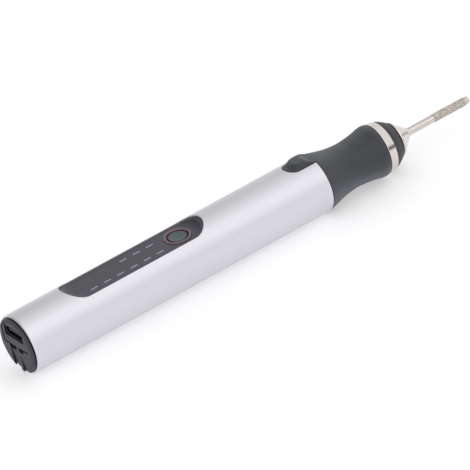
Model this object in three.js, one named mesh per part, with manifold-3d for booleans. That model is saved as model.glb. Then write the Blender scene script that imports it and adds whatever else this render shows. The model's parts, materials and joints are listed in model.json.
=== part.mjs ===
// Electric engraving pen, in millimetres.
// +X runs along the pen to the bit's tip and +Z points out of the control panel.
// Stations along X are counted from the tube's rear rim, and the last lines move the pen to its own origin.
import * as THREE from 'three';
import { mergeVertices } from 'three/addons/utils/BufferGeometryUtils.js';
import Module from 'manifold-3d';

const wasm = await Module();
wasm.setup();

// Clearances that all pieces share. The overrun is how far a cutting shape passes the face that it opens.
const fit = 0.1;
const runningFit = 0.05;
const seam = 0.1;
const movingGap = 0.35;
const overrun = 1;
const weldDistance = 1e-4;

// Sides of the round pieces: the casing, the inner pieces and the small ones.
const casingSides = 48;
const innerSides = 24;
const smallSides = 12;
const ballSides = 6;
const roundSteps = 4;

// Stack across the pen, from the tube's floor up to the panel and the tube's top.
const battery = { radius: 5, length: 44, round: 0.4, capRadius: 1.6, capHeight: 0.5 };
const cradle = { wall: 0.3, railDepth: 3.2, lipHeight: 1.2, ribWidth: 2.5, ribSpacing: 14.5, stopWidth: 1.5 };
const board = { thickness: 0.8, width: 11.6, gapOverBattery: 0.6, fromRim: 1.2, toMotor: 1.8 };
const pushSwitch = { height: 0.65, width: 4.2, recess: 0.5, plungerRadius: 1 };
const button = {
  radius: 2.6, flangeRadius: 3.3, flange: 0.3, travel: 0.35, proud: 0.15, dish: 0.25, edge: 0.25,
};
const ring = { innerRadius: 2.95, shelfRadius: 3.4, outerRadius: 4.2, flangeRadius: 4.9, flange: 0.25 };
const bead = { height: 0.35, shelfDrop: 0.3, round: 0.15 };
const panel = { thickness: 0.7, sink: 2.55, rimWall: 0.5 };
const tube = { wall: 1, rearRound: 0.4, frontBevel: 0.25 };

const panelRoom = pushSwitch.height + button.travel + fit + button.flange + fit + ring.flange + seam;
const stackToPanel = fit + cradle.wall + fit + 2 * battery.radius + board.gapOverBattery
  + board.thickness + panelRoom + panel.thickness;
const tubeRadius = (stackToPanel + panel.sink + tube.wall) / 2;
const boreRadius = tubeRadius - tube.wall;
const panelFloor = tubeRadius - panel.sink;
const panelUnder = panelFloor - panel.thickness;
const boardTop = panelUnder - panelRoom;
const boardUnder = boardTop - board.thickness;
const batteryZ = boardUnder - board.gapOverBattery - battery.radius;
const chassisRadius = boreRadius - fit;

// Stack along the tube, from its rear rim to its front rim.
const tailRoom = 14;
const wiringRoom = 9.8;
const motor = { length: 24, holderWall: 0.8, canWall: 0.6, frontWall: 1.2, shaftRadius: 1, bellWidth: 1.2 };
const core = { plateWidth: 2, couplingRoom: 9.2, wall: 1.15, cavityWall: 1.85, cavityDepth: 3.6 };
const batteryStart = tailRoom;
const batteryEnd = batteryStart + battery.length;
const motorStart = batteryEnd + wiringRoom;
const motorEnd = motorStart + motor.length;
const plateStart = motorEnd + seam;
const plateEnd = plateStart + core.plateWidth;
const tubeLength = plateEnd + core.couplingRoom;
const motorRadius = chassisRadius - motor.holderWall - fit;

// The panel's slot, its row of windows and the button, set out from the motor's end of the slot.
const slot = { start: 16.62, width: 11.46, toMotor: 3.52 };
const windowRow = {
  length: 2.4, width: 0.4, pitch: 4.54, side: 2.72, fromButton: 7.93, levelCount: 6, speedCount: 3,
};
const buttonFromSlotEnd = 8.18;
const slotEnd = motorStart - slot.toMotor;
const buttonX = slotEnd - buttonFromSlotEnd;
const firstWindowX = buttonX - windowRow.fromButton;

// The notch in the tube's front edge and the grip's tongue in it.
const notch = { depth: 9.05, width: 6.6 };
const tongue = {
  floorDepth: 1, crestRise: 0.9, crestSetback: 2, crestBow: 3, crestHalfWidth: 2.5, reach: 3.3, endHalfWidth: 1.6,
};

// Tail cap, charging port and lanyard grooves.
const cap = { height: 1.1, edgeInset: 0.5, plateauRadius: 6.9, floor: 2.2, plugDepth: 5, plugWall: 0.7 };
const port = { width: 9.2, height: 3.4, corner: 0.5 };
const bezel = { width: 11.8, thickness: 0.95, sink: 0.15, topRadius: 7.5, barWidth: 2.55 };
const groove = { width: 2.8, depth: 0.9, ribWidth: 1.2, ribDrop: 0.3, pocketHeight: 1, pocketDepth: 1.8 };
const socket = { width: 8.94, height: 3.16, wall: 0.3, length: 7.3, sink: 0.5, rise: 0.2 };
const socketInside = { tongueWidth: 6.7, tongueThickness: 0.7, tongueLength: 5.4, blockLength: 1.4 };

// Nose, from the tube's front rim to the bit's tip.
const bearing = { outerRadius: 4.5, innerRadius: 2.55, width: 3, ringWall: 0.5, ballRadius: 0.4, balls: 8 };
const cage = { width: 0.3, depth: 0.3 };
const grip = { length: 21.55, thinnest: 1.1, waistShare: 0.546, shoulderSwell: 1.15, rearInset: 0.05 };
const trimRing = { width: 2.6, taper: 0.35, edge: 0.2 };
const noseCap = { width: 3.5, rearInset: 0.1, frontRadius: 5.75, thread: 1.5, lipWall: 0.55 };
const seal = { width: 1, outerRadius: 4.1 };
const retainer = { width: 1.6, innerRadius: 3.6 };
const bearingSetback = 2;
const shoulder = { innerRadius: 3.6, width: 0.9, fromRim: 1.4 };
const spindle = {
  radius: 2.5, tailRadius: 1.5, socketRadius: 2, shoulderRadius: 3, noseFromCap: 2.1, cavityMargin: 1,
};
const coupling = { radius: 3.3, clearance: 1, fromPlate: 1.5, motorGrip: 4.1, gap: 0.3, spindleGrip: 3.85 };
const nut = { rearRadius: 5.5, frontRadius: 2, length: 4.55, threadRadius: 2.6, rim: 0.25 };
const collet = {
  radius: 1.9, headRadius: 2.4, headWidth: 0.5, tail: 8, jaw: 0.9, jawRadius: 1.4, slit: 0.35, collar: 0.5,
};
const bit = { radius: 1.175, headRadius: 1.28, insertion: 21.8, neck: 9.2, head: 11.3, tip: 1.4, core: 0.95 };
const bitDetail = { edge: 0.25, step: 0.3, grit: 0.06, ridges: 8 };

const tubeFront = tubeLength;
const seatStart = tubeFront + shoulder.fromRim + shoulder.width + seam;
const gripStart = tubeFront + seam;
const gripEnd = gripStart + grip.length;
const ringStart = gripEnd + seam;
const ringEnd = ringStart + trimRing.width;
const capStart = ringEnd + seam;
const capEnd = capStart + noseCap.width;
const coreEnd = capStart + noseCap.thread;
const frontBearingEnd = coreEnd - bearingSetback;
const frontBearingStart = frontBearingEnd - bearing.width;
const neckRadius = bearing.outerRadius + runningFit + core.wall;
const waistRadius = neckRadius + fit + grip.thinnest;
const shoulderRadius = waistRadius + grip.shoulderSwell;
const gripRearRadius = tubeRadius - grip.rearInset;
const nutStart = capEnd + movingGap;
const nutEnd = nutStart + nut.length;
const spindleEnd = capEnd + spindle.noseFromCap;
const colletHeadStart = spindleEnd + seam;
const colletEnd = nutEnd + collet.jaw;
const bitStart = colletEnd - bit.insertion;
const bitHeadStart = colletEnd + bit.neck;
const bitHeadEnd = bitHeadStart + bit.head;
const bitEnd = bitHeadEnd + bit.tip;

// A finish is a colour with its roughness and how metallic it is.
const finish = (color, roughness, metalness = 0) => ({ color, roughness, metalness });
const satinMetal = finish(0xc9c8cc, 0.42, 0.9);
const darkPlastic = finish(0x2a2b2e, 0.5);
const panelPlastic = finish(0x2c2c30, 0.35);
const softGrip = finish(0x24272c, 0.7);
const polishedMetal = finish(0xd9d2cd, 0.15, 1);
const toolSteel = finish(0xc4b6b0, 0.25, 1);
const gritMetal = finish(0x9c958c, 0.8, 0.6);
const redClear = finish(0x7a1f24, 0.25);
const milkyClear = finish(0xb9b9be, 0.4);
const greyButton = finish(0x3d4448, 0.5);
const blackPlastic = finish(0x161618, 0.5);
const whitePlastic = finish(0xd8d8d2, 0.5);
const greenBoard = finish(0x1f5a38, 0.5);
const batteryWrap = finish(0x2f5f9c, 0.35);
const nickel = finish(0xbdb9b0, 0.3, 1);
const steel = finish(0xa9abae, 0.3, 1);
const copper = finish(0xb87333, 0.35, 1);
const bronze = finish(0xa07840, 0.4, 1);
const darkMagnet = finish(0x3a3a3c, 0.6);
const felt = finish(0x6b665c, 0.95);
const redWire = finish(0xb02020, 0.45);
const blackWire = finish(0x1c1c1c, 0.45);

// Solids: a closed geometry becomes a solid that can be cut and joined.
function solid(geometry) {
  const bare = new THREE.BufferGeometry();
  bare.setAttribute('position', geometry.getAttribute('position'));
  bare.setIndex(geometry.index);
  const merged = mergeVertices(bare, weldDistance);
  const corners = merged.index.array;
  const kept = [];
  for (let i = 0; i < corners.length; i += 3) {
    const [a, b, c] = [corners[i], corners[i + 1], corners[i + 2]];
    if (a !== b && b !== c && c !== a) kept.push(a, b, c);
  }
  const vertProperties = merged.getAttribute('position').array;
  return new wasm.Manifold(new wasm.Mesh({ numProp: 3, vertProperties, triVerts: new Uint32Array(kept) }));
}

const joined = (...solids) => solids.reduce((whole, part) => whole.add(part));
const cutBy = (whole, ...cutters) => cutters.reduce((rest, cutter) => rest.subtract(cutter), whole);

// A round solid about the pen's axis. Its profile holds [station, radius] pairs, out along and back inside.
function turned(profile, sides = innerSides) {
  const points = profile.map(([x, radius]) => new THREE.Vector2(radius, x));
  const halfStep = Math.PI / sides;
  const geometry = new THREE.LatheGeometry(points, sides, halfStep);
  geometry.rotateZ(-Math.PI / 2);
  return solid(geometry);
}

const rod = (x0, x1, radius, sides) => turned([[x0, 0], [x0, radius], [x1, radius], [x1, 0]], sides);

function sleeve(x0, x1, inner, outer, sides) {
  return turned([[x0, inner], [x0, outer], [x1, outer], [x1, inner], [x0, inner]], sides);
}

// A round solid about an upright line at (x, y). Its profile holds [radius, height] pairs.
function turnedUpright(profile, x, sides = innerSides, y = 0) {
  const points = profile.map(([radius, z]) => new THREE.Vector2(radius, z));
  const geometry = new THREE.LatheGeometry(points, sides);
  geometry.rotateX(Math.PI / 2);
  geometry.translate(x, y, 0);
  return solid(geometry);
}

function post(x, z0, z1, radius, sides) {
  return turnedUpright([[0, z0], [radius, z0], [radius, z1], [0, z1]], x, sides);
}

function box(x0, x1, y0, y1, z0, z1) {
  const geometry = new THREE.BoxGeometry(x1 - x0, y1 - y0, z1 - z0);
  geometry.translate((x0 + x1) / 2, (y0 + y1) / 2, (z0 + z1) / 2);
  return solid(geometry);
}

// An outline drawn in X and Y, pulled up from z0 to z1.
function upright(shape, z0, z1, curveSegments = roundSteps) {
  const geometry = new THREE.ExtrudeGeometry(shape, { depth: z1 - z0, bevelEnabled: false, curveSegments });
  geometry.translate(0, 0, z0);
  return solid(geometry);
}

// An outline drawn in Y and Z, pulled along the pen from x0 to x1.
function alongPen(shape, x0, x1, curveSegments = roundSteps) {
  const geometry = new THREE.ExtrudeGeometry(shape, { depth: x1 - x0, bevelEnabled: false, curveSegments });
  const axes = [new THREE.Vector3(0, 1, 0), new THREE.Vector3(0, 0, 1), new THREE.Vector3(1, 0, 0)];
  geometry.applyMatrix4(new THREE.Matrix4().makeBasis(...axes));
  geometry.translate(x0, 0, 0);
  return solid(geometry);
}

// A long hole's outline in X and Y, with round ends.
function stadium(x0, x1, halfWidth) {
  const shape = new THREE.Shape();
  shape.absarc(x1 - halfWidth, 0, halfWidth, -Math.PI / 2, Math.PI / 2);
  shape.absarc(x0 + halfWidth, 0, halfWidth, Math.PI / 2, 3 * Math.PI / 2);
  return shape;
}

// A rectangle with round corners about (0, z), drawn in Y and Z.
function roundedRectangle(width, height, corner, z) {
  const right = width / 2 - corner;
  const top = height / 2 - corner;
  const shape = new THREE.Shape();
  shape.absarc(right, z - top, corner, -Math.PI / 2, 0);
  shape.absarc(right, z + top, corner, 0, Math.PI / 2);
  shape.absarc(-right, z + top, corner, Math.PI / 2, Math.PI);
  shape.absarc(-right, z - top, corner, Math.PI, 3 * Math.PI / 2);
  return shape;
}

// An insulated wire along a smooth line through its points.
const wire = { radius: 0.45, sides: 8, steps: 12, landing: 0.15 };
function wireSolid(points) {
  const path = new THREE.CatmullRomCurve3(points.map((point) => new THREE.Vector3(...point)));
  const section = new THREE.Shape();
  const step = 2 * Math.PI / wire.sides;
  for (let i = 0; i < wire.sides; i += 1) {
    const corner = [wire.radius * Math.cos(i * step), wire.radius * Math.sin(i * step)];
    if (i === 0) section.moveTo(...corner);
    else section.lineTo(...corner);
  }
  const along = { steps: wire.steps, extrudePath: path, bevelEnabled: false };
  return solid(new THREE.ExtrudeGeometry(section, along));
}

const pen = new THREE.Group();

// Puts a finished solid in the pen as a named mesh.
function piece(name, whole, look) {
  const { numProp, vertProperties, triVerts } = whole.getMesh();
  const geometry = new THREE.BufferGeometry();
  geometry.setAttribute('position', new THREE.BufferAttribute(vertProperties, numProp));
  geometry.setIndex(new THREE.BufferAttribute(triVerts, 1));
  geometry.computeVertexNormals();
  const mesh = new THREE.Mesh(geometry, new THREE.MeshStandardMaterial(look));
  mesh.name = name;
  pen.add(mesh);
}

// Body tube: rounded rear rim, bevelled front rim, the panel's slot and the tongue's notch.
function bodyTube() {
  const profile = [[0, boreRadius]];
  for (let i = 0; i <= roundSteps; i += 1) {
    const turn = i / roundSteps * Math.PI / 2;
    const x = tube.rearRound * (1 - Math.cos(turn));
    profile.push([x, tubeRadius - tube.rearRound * (1 - Math.sin(turn))]);
  }
  profile.push([tubeLength - tube.frontBevel, tubeRadius]);
  profile.push([tubeLength, tubeRadius - tube.frontBevel]);
  profile.push([tubeLength, boreRadius]);
  profile.push([0, boreRadius]);
  const slotShape = stadium(slot.start, slotEnd, slot.width / 2);
  const notchShape = stadium(tubeLength - notch.depth, tubeLength + notch.width, notch.width / 2);
  const top = tubeRadius + overrun;
  return cutBy(
    turned(profile, casingSides),
    upright(slotShape, 0, top, 2 * roundSteps),
    upright(notchShape, 0, top, 2 * roundSteps),
  );
}

// The tail cap's outer skin falls in a quarter of an ellipse from its flat middle to its edge.
const capEdgeRadius = tubeRadius - cap.edgeInset;
const capInside = cap.floor - cap.height;
function capSkin() {
  const profile = [[capInside, 0], [capInside, chassisRadius], [-seam, chassisRadius]];
  for (let i = 0; i <= roundSteps; i += 1) {
    const turn = i / roundSteps * Math.PI / 2;
    const fall = (cap.height - seam) * Math.sin(turn);
    profile.push([-seam - fall, cap.plateauRadius + (capEdgeRadius - cap.plateauRadius) * Math.cos(turn)]);
  }
  profile.push([-cap.height, 0]);
  return turned(profile.reverse(), casingSides);
}

// The bezel's outline: straight sides, a level lower edge and a round top, about the port's middle.
const portZ = boardTop + socket.rise;
function bezelShape(grow) {
  const half = bezel.width / 2 + grow;
  const radius = bezel.topRadius + grow;
  const low = portZ - port.height / 2 - bezel.barWidth - grow;
  const start = Math.asin(Math.sqrt(1 - (half / radius) ** 2));
  const shape = new THREE.Shape();
  shape.moveTo(-half, low);
  shape.lineTo(half, low);
  shape.absarc(0, 0, radius, start, Math.PI - start);
  return shape;
}

const portShape = roundedRectangle(port.width, port.height, port.corner, portZ);
const barLow = portZ - port.height / 2 - bezel.barWidth - fit;
const insertFace = -cap.height + bezel.sink;
const insertBack = insertFace + bezel.thickness;

function tailCap() {
  const plug = sleeve(-seam, cap.plugDepth, chassisRadius - cap.plugWall, chassisRadius, casingSides);
  const pocket = alongPen(bezelShape(fit), -cap.height - overrun, insertBack + fit);
  const portHole = alongPen(portShape, -cap.height - overrun, cap.plugDepth);
  const halfRib = groove.ribWidth / 2;
  const grooveFloor = -cap.height + groove.depth;
  const grooves = [-1, 1].flatMap((side) => {
    const edges = [side * halfRib, side * (halfRib + groove.width)].sort((a, b) => a - b);
    const pocketFloor = -cap.height + groove.pocketDepth;
    return [
      box(-cap.height - overrun, grooveFloor, ...edges, -tubeRadius, barLow),
      box(-cap.height - overrun, pocketFloor, ...edges, barLow - groove.pocketHeight, barLow),
    ];
  });
  const ribCrest = -cap.height + groove.ribDrop;
  const ribTop = box(-cap.height - overrun, ribCrest, -halfRib, halfRib, -tubeRadius, barLow);
  return cutBy(joined(capSkin(), plug), pocket, portHole, ...grooves, ribTop);
}

// The insert's face is the cap's skin, set back a little.
function portBezel() {
  const plate = alongPen(bezelShape(0), -cap.height - overrun, insertBack);
  const face = capSkin().translate([bezel.sink, 0, 0]);
  return cutBy(plate.intersect(face), alongPen(portShape, -cap.height - overrun, cap.plugDepth));
}

const socketStart = -cap.height + socket.sink;
const socketEnd = socketStart + socket.length;

function socketShell() {
  const outer = roundedRectangle(socket.width, socket.height, socket.height / 2, portZ);
  const innerHeight = socket.height - 2 * socket.wall;
  outer.holes.push(roundedRectangle(socket.width - 2 * socket.wall, innerHeight, innerHeight / 2, portZ));
  return alongPen(outer, socketStart, socketEnd);
}

function socketTongue() {
  const half = socketInside.tongueWidth / 2;
  const blade = socketInside.tongueThickness / 2;
  const blockStart = socketEnd - socketInside.blockLength;
  const insideHeight = socket.height - 2 * socket.wall - 2 * fit;
  const insideWidth = socket.width - 2 * socket.wall - 2 * fit;
  const block = roundedRectangle(insideWidth, insideHeight, insideHeight / 2, portZ);
  return joined(
    box(blockStart - socketInside.tongueLength, socketEnd, -half, half, portZ - blade, portZ + blade),
    alongPen(block, blockStart, socketEnd),
  );
}

// Control panel: a tray with its own rim, cut to the tube's round at the top, that stands on the board.
function windowCentres(count) {
  return Array.from({ length: count }, (_, i) => firstWindowX - i * windowRow.pitch);
}
const windowRows = [
  { side: -1, centres: windowCentres(windowRow.levelCount) },
  { side: 1, centres: windowCentres(windowRow.speedCount) },
];

function windowBox(x, side, grow, z0, z1) {
  const length = windowRow.length / 2 + grow;
  const width = windowRow.width / 2 + grow;
  const y = side * windowRow.side;
  return box(x - length, x + length, y - width, y + width, z0, z1);
}

function controlPanel() {
  const outerHalf = slot.width / 2 - seam;
  const outer = stadium(slot.start + seam, slotEnd - seam, outerHalf);
  const innerStart = slot.start + seam + panel.rimWall;
  const innerEnd = slotEnd - seam - panel.rimWall;
  const inner = stadium(innerStart, innerEnd, outerHalf - panel.rimWall);
  const curve = 2 * roundSteps;
  const top = tubeRadius + overrun;
  const block = upright(outer, boardTop + fit, top, curve);
  const tubeRound = rod(slot.start - overrun, slotEnd + overrun, tubeRadius - seam, casingSides);
  const windows = windowRows.flatMap(({ side, centres }) => (
    centres.map((x) => windowBox(x, side, fit / 2, boardTop, top))
  ));
  return cutBy(
    block.intersect(tubeRound),
    upright(inner, panelFloor, top, curve),
    upright(inner, boardTop, panelUnder, curve),
    post(buttonX, boardTop, top, ring.outerRadius + fit, innerSides),
    ...windows,
  );
}

function buttonRing() {
  const flangeTop = panelUnder - seam;
  const low = flangeTop - ring.flange;
  const crown = panelFloor + bead.height;
  const shelf = panelFloor - bead.shelfDrop;
  return turnedUpright([
    [ring.innerRadius, low],
    [ring.flangeRadius, low],
    [ring.flangeRadius, flangeTop],
    [ring.outerRadius, flangeTop],
    [ring.outerRadius, crown - bead.round],
    [ring.outerRadius - bead.round, crown],
    [ring.shelfRadius + bead.round, crown],
    [ring.shelfRadius, crown - bead.round],
    [ring.shelfRadius, shelf],
    [ring.innerRadius, shelf],
    [ring.innerRadius, low],
  ], buttonX);
}

const switchTop = boardTop + pushSwitch.height;
const buttonLow = switchTop + button.travel + fit;

function powerButton() {
  const flangeTop = buttonLow + button.flange;
  const crown = panelFloor + button.proud;
  return turnedUpright([
    [0, buttonLow],
    [button.flangeRadius, buttonLow],
    [button.flangeRadius, flangeTop],
    [button.radius, flangeTop],
    [button.radius, crown - button.edge],
    [button.radius - button.edge, crown],
    [0, crown - button.dish],
  ], buttonX);
}

function switchBody() {
  const half = pushSwitch.width / 2;
  const recess = switchTop - pushSwitch.recess;
  const body = box(buttonX - half, buttonX + half, -half, half, boardTop, switchTop);
  return cutBy(body, post(buttonX, recess, switchTop + overrun, pushSwitch.plungerRadius + fit, smallSides));
}

function switchPlunger() {
  const low = switchTop - pushSwitch.recess + button.travel + runningFit;
  return post(buttonX, low, buttonLow, pushSwitch.plungerRadius, smallSides);
}

// Light guides hang under the panel, with a pillar in each window and a foot over each light.
const guide = { width: 0.9, thickness: 0.6, footLength: 1.2 };
const light = { length: 1, width: 0.6, height: 0.3, strip: 0.2, stripWidth: 1.2, margin: 1.2 };
const lightTop = boardTop + light.strip + light.height;

function lightGuide({ side, centres }) {
  const y = side * windowRow.side;
  const railTop = panelUnder - seam;
  const railLow = railTop - guide.thickness;
  const halfWidth = guide.width / 2;
  const halfLength = windowRow.length / 2 + fit;
  const last = centres[centres.length - 1];
  const first = centres[0];
  const rail = box(last - halfLength, first + halfLength, y - halfWidth, y + halfWidth, railLow, railTop);
  const pillars = centres.map((x) => windowBox(x, side, 0, railLow, panelFloor));
  const halfFoot = guide.footLength / 2;
  const feet = centres.map((x) => (
    box(x - halfFoot, x + halfFoot, y - halfWidth, y + halfWidth, lightTop + fit, railTop)
  ));
  return joined(rail, ...pillars, ...feet);
}

function lightBar({ side, centres }) {
  const y = side * windowRow.side;
  const low = centres[centres.length - 1] - light.margin;
  const high = centres[0] + light.margin;
  const halfStrip = light.stripWidth / 2;
  const strip = box(low, high, y - halfStrip, y + halfStrip, boardTop, boardTop + light.strip);
  const halfLength = light.length / 2;
  const halfWidth = light.width / 2;
  const lamps = centres.map((x) => (
    box(x - halfLength, x + halfLength, y - halfWidth, y + halfWidth, boardTop, lightTop)
  ));
  return joined(strip, ...lamps);
}

function ringLight() {
  const x = buttonX + (ring.shelfRadius + ring.outerRadius) / 2;
  const halfLength = light.length / 2;
  const halfWidth = light.width / 2;
  return box(x - halfWidth, x + halfWidth, -halfLength, halfLength, boardTop, lightTop);
}

// Circuit board, notched at the rear for the charging socket.
const boardEnd = motorStart - board.toMotor;
function circuitBoard() {
  const half = board.width / 2;
  const plate = box(board.fromRim, boardEnd, -half, half, boardUnder, boardTop);
  const socketHalf = socket.width / 2 + fit;
  return cutBy(plate, box(0, socketEnd + fit, -socketHalf, socketHalf, -boreRadius, boreRadius));
}

// A chip with a row of leads along each side.
function leadedChip(x, { length, width, height, lead }) {
  const body = box(x - length / 2, x + length / 2, -width / 2, width / 2, boardTop, boardTop + height);
  const pitch = length / lead.count;
  const halfLead = lead.width / 2;
  const reach = width / 2 + lead.length;
  const legs = Array.from({ length: lead.count }, (_, i) => {
    const centre = x - length / 2 + (i + 0.5) * pitch;
    return box(centre - halfLead, centre + halfLead, -reach, reach, boardTop, boardTop + lead.height);
  });
  return joined(body, ...legs);
}
const controlLead = { count: 5, width: 0.25, length: 0.1, height: 0.2 };
const driverLead = { count: 4, width: 0.4, length: 0.6, height: 0.3 };
const chargeLead = { count: 4, width: 0.4, length: 1, height: 0.3 };
const controlChip = { length: 3, width: 3, height: 0.9, lead: controlLead };
const driverChip = { length: 4.9, width: 3, height: 1.2, lead: driverLead };
const chargeChip = { length: 4.9, width: 3.9, height: 1.5, lead: chargeLead };
const coil = { width: 3.8, height: 1.5, acrossCorners: 4.6 };
const chipGap = 4.2;
const chargeChipX = socketEnd + chipGap;
const controlChipX = firstWindowX - windowRow.pitch;
const driverChipX = controlChipX - windowRow.pitch - chipGap;
const coilX = driverChipX - driverChip.length / 2 - chipGap;

function boostCoil() {
  const half = coil.width / 2;
  const square = box(coilX - half, coilX + half, -half, half, boardTop, boardTop + coil.height);
  return square.intersect(post(coilX, boardTop, boardTop + coil.height, coil.acrossCorners / 2, innerSides));
}

// Battery, with a tab spot-welded to each end, and the soft pad behind it.
const tab = { width: 3, thickness: 0.2, up: 3.4 };
const pad = { thickness: 0.7, radius: 2.4 };
function batteryCell() {
  const canEnd = batteryEnd - battery.capHeight;
  const profile = [
    [batteryStart, 0],
    [batteryStart, battery.radius - battery.round],
    [batteryStart + battery.round, battery.radius],
    [canEnd - battery.round, battery.radius],
    [canEnd, battery.radius - battery.round],
    [canEnd, battery.capRadius],
    [batteryEnd, battery.capRadius],
    [batteryEnd, 0],
  ];
  return turned(profile).translate([0, 0, batteryZ]);
}

function batteryTab(x) {
  const half = tab.width / 2;
  return box(x, x + tab.thickness, -half, half, batteryZ - half, batteryZ + tab.up);
}
const rearTabX = batteryStart - seam - tab.thickness;
const frontTabX = batteryEnd + seam;
const padX = rearTabX - seam - pad.thickness;

// Chassis: one round bar, cut open for the battery, the board and the motor. What is left is two rails with
// a lip beside the board, cradle ribs, a stop at each end of the battery and the motor's holder.
const stopX = padX - seam - cradle.stopWidth;
const frontStopX = frontTabX + tab.thickness + seam;
const chassisStart = cap.plugDepth + fit;
const holderStart = motorStart - motor.bellWidth;

function chassis() {
  const railInner = battery.radius + fit;
  const boardHalf = board.width / 2 + fit;
  const panelHalf = slot.width / 2 + fit;
  const lipTop = boardTop + cradle.lipHeight;
  const railLow = boardUnder - cradle.railDepth;
  const rearEnd = chassisStart - overrun;
  const side = tubeRadius;
  const trough = new THREE.Shape();
  trough.absarc(0, batteryZ, railInner, Math.PI, 2 * Math.PI);
  trough.lineTo(railInner, tubeRadius);
  trough.lineTo(-railInner, tubeRadius);
  const troughSpans = [
    [rearEnd, stopX],
    [stopX + cradle.stopWidth, frontStopX],
    [frontStopX + cradle.stopWidth, holderStart],
  ];
  const ribCount = Math.floor(battery.length / cradle.ribSpacing);
  const windows = Array.from({ length: ribCount + 1 }, (_, i) => {
    const pitch = battery.length / ribCount;
    const middle = batteryStart + i * pitch;
    const start = i === 0 ? stopX + cradle.stopWidth : middle - (pitch - cradle.ribWidth) / 2;
    const end = i === ribCount ? frontStopX : middle + (pitch - cradle.ribWidth) / 2;
    return box(start, end, -side, side, -side, railLow);
  });
  return cutBy(
    rod(chassisStart, motorEnd, chassisRadius, casingSides),
    rod(holderStart, motorEnd + overrun, chassisRadius - motor.holderWall, casingSides),
    box(rearEnd, holderStart, -side, side, lipTop, side),
    box(rearEnd, boardEnd + fit, -boardHalf, boardHalf, boardUnder, side),
    box(slot.start, slotEnd, -panelHalf, panelHalf, boardTop, side),
    box(rearEnd, holderStart, -railInner, railInner, batteryZ, side),
    ...troughSpans.map(([start, end]) => alongPen(trough, start, end, 2 * roundSteps)),
    ...windows,
  );
}

// Motor: can with its front wall, magnet, three-pole armature on the shaft, end bell and terminals.
const bush = { radius: 2.5, proud: 1.2, length: 2.4 };
const magnet = { wall: 1.1, fromFront: 4, fromRear: 5 };
const armature = {
  radius: 4.6, poleWidth: 2.6, shoeWidth: 5.2, shoe: 1.1, hub: 2.2, inset: 0.5, poles: 3, windingInset: 1,
};
const terminal = { width: 1.6, thickness: 0.3, length: 1.2, side: 4 };
const screw = {
  radius: 0.8, headRadius: 1.4, headLength: 1, length: 5, circle: 4.4, driveWidth: 0.4, driveDepth: 0.5,
};
const screwSides = [-1, 1];
const canInside = motorRadius - motor.canWall;
const bellEnd = motorStart + motor.bellWidth;

function motorCan() {
  const frontInside = motorEnd - motor.frontWall;
  const can = turned([
    [bellEnd, canInside],
    [bellEnd, motorRadius],
    [motorEnd, motorRadius],
    [motorEnd, bush.radius + fit],
    [frontInside, bush.radius + fit],
    [frontInside, canInside],
    [bellEnd, canInside],
  ], casingSides);
  return cutBy(can, ...screwHoles(frontInside, motorEnd));
}

function screwHoles(start, end) {
  const hole = rod(start - overrun, end + overrun, screw.radius + fit, smallSides);
  return screwSides.map((side) => hole.translate([0, side * screw.circle, 0]));
}

function endBell() {
  const shaftHole = motor.shaftRadius + fit;
  const spigotOuter = canInside - fit;
  const spigotInner = spigotOuter - motor.canWall;
  const spigotEnd = bellEnd + motor.bellWidth;
  return turned([
    [motorStart, shaftHole],
    [motorStart, motorRadius],
    [bellEnd, motorRadius],
    [bellEnd, spigotOuter],
    [spigotEnd, spigotOuter],
    [spigotEnd, spigotInner],
    [bellEnd, spigotInner],
    [bellEnd, shaftHole],
    [motorStart, shaftHole],
  ], casingSides);
}

function motorTerminal(side) {
  const y = side * terminal.side;
  const half = terminal.width / 2;
  const end = motorStart - runningFit;
  return box(end - terminal.length, end, y - half, y + half, -terminal.thickness / 2, terminal.thickness / 2);
}

const magnetStart = motorStart + magnet.fromRear;
const magnetEnd = motorEnd - magnet.fromFront;
function magnetRing() {
  const outer = canInside - runningFit;
  return sleeve(magnetStart, magnetEnd, outer - magnet.wall, outer);
}

// Each pole of the armature is a stem with a wide shoe, cut from one round bar.
function armatureBody() {
  const end = magnetEnd - armature.inset;
  const start = magnetStart + armature.inset;
  const bar = rod(start, end, armature.radius);
  const hub = rod(start, end, armature.hub);
  const poles = Array.from({ length: armature.poles }, (_, i) => {
    const turn = i * 360 / armature.poles;
    const stemHalf = armature.poleWidth / 2;
    const stem = box(start, end, -stemHalf, stemHalf, 0, armature.radius);
    const shoeLow = armature.radius - armature.shoe;
    const shoe = box(start, end, -armature.shoeWidth / 2, armature.shoeWidth / 2, shoeLow, armature.radius);
    return joined(stem, shoe).rotate([turn, 0, 0]);
  });
  const windingRadius = armature.radius - armature.shoe / 2;
  const windings = rod(start + armature.windingInset, end - armature.windingInset, windingRadius);
  const body = joined(hub, ...poles.map((pole) => pole.intersect(bar)), windings);
  return cutBy(body, rod(start - overrun, end + overrun, motor.shaftRadius + runningFit, smallSides));
}

const couplingStart = plateEnd + coupling.fromPlate;
const motorShaftEnd = couplingStart + coupling.motorGrip;
const spindleTail = motorShaftEnd + coupling.gap;
const couplingEnd = spindleTail + coupling.spindleGrip;

function shaftCoupling() {
  const middle = (motorShaftEnd + spindleTail) / 2;
  return cutBy(
    rod(couplingStart, couplingEnd, coupling.radius),
    rod(couplingStart - overrun, middle, motor.shaftRadius + runningFit, smallSides),
    rod(middle - runningFit, couplingEnd + overrun, spindle.tailRadius + runningFit, smallSides),
  );
}

function motorScrew(side) {
  const headStart = plateEnd + runningFit;
  const headEnd = headStart + screw.headLength;
  const reach = screw.headRadius + overrun;
  const halfDrive = screw.driveWidth / 2;
  const drive = box(headEnd - screw.driveDepth, headEnd + overrun, -reach, reach, -halfDrive, halfDrive);
  const body = turned([
    [headStart - screw.length, 0],
    [headStart - screw.length, screw.radius],
    [headStart, screw.radius],
    [headStart, screw.headRadius],
    [headEnd, screw.headRadius],
    [headEnd, 0],
  ], smallSides);
  return cutBy(body, drive).translate([0, side * screw.circle, 0]);
}

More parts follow.
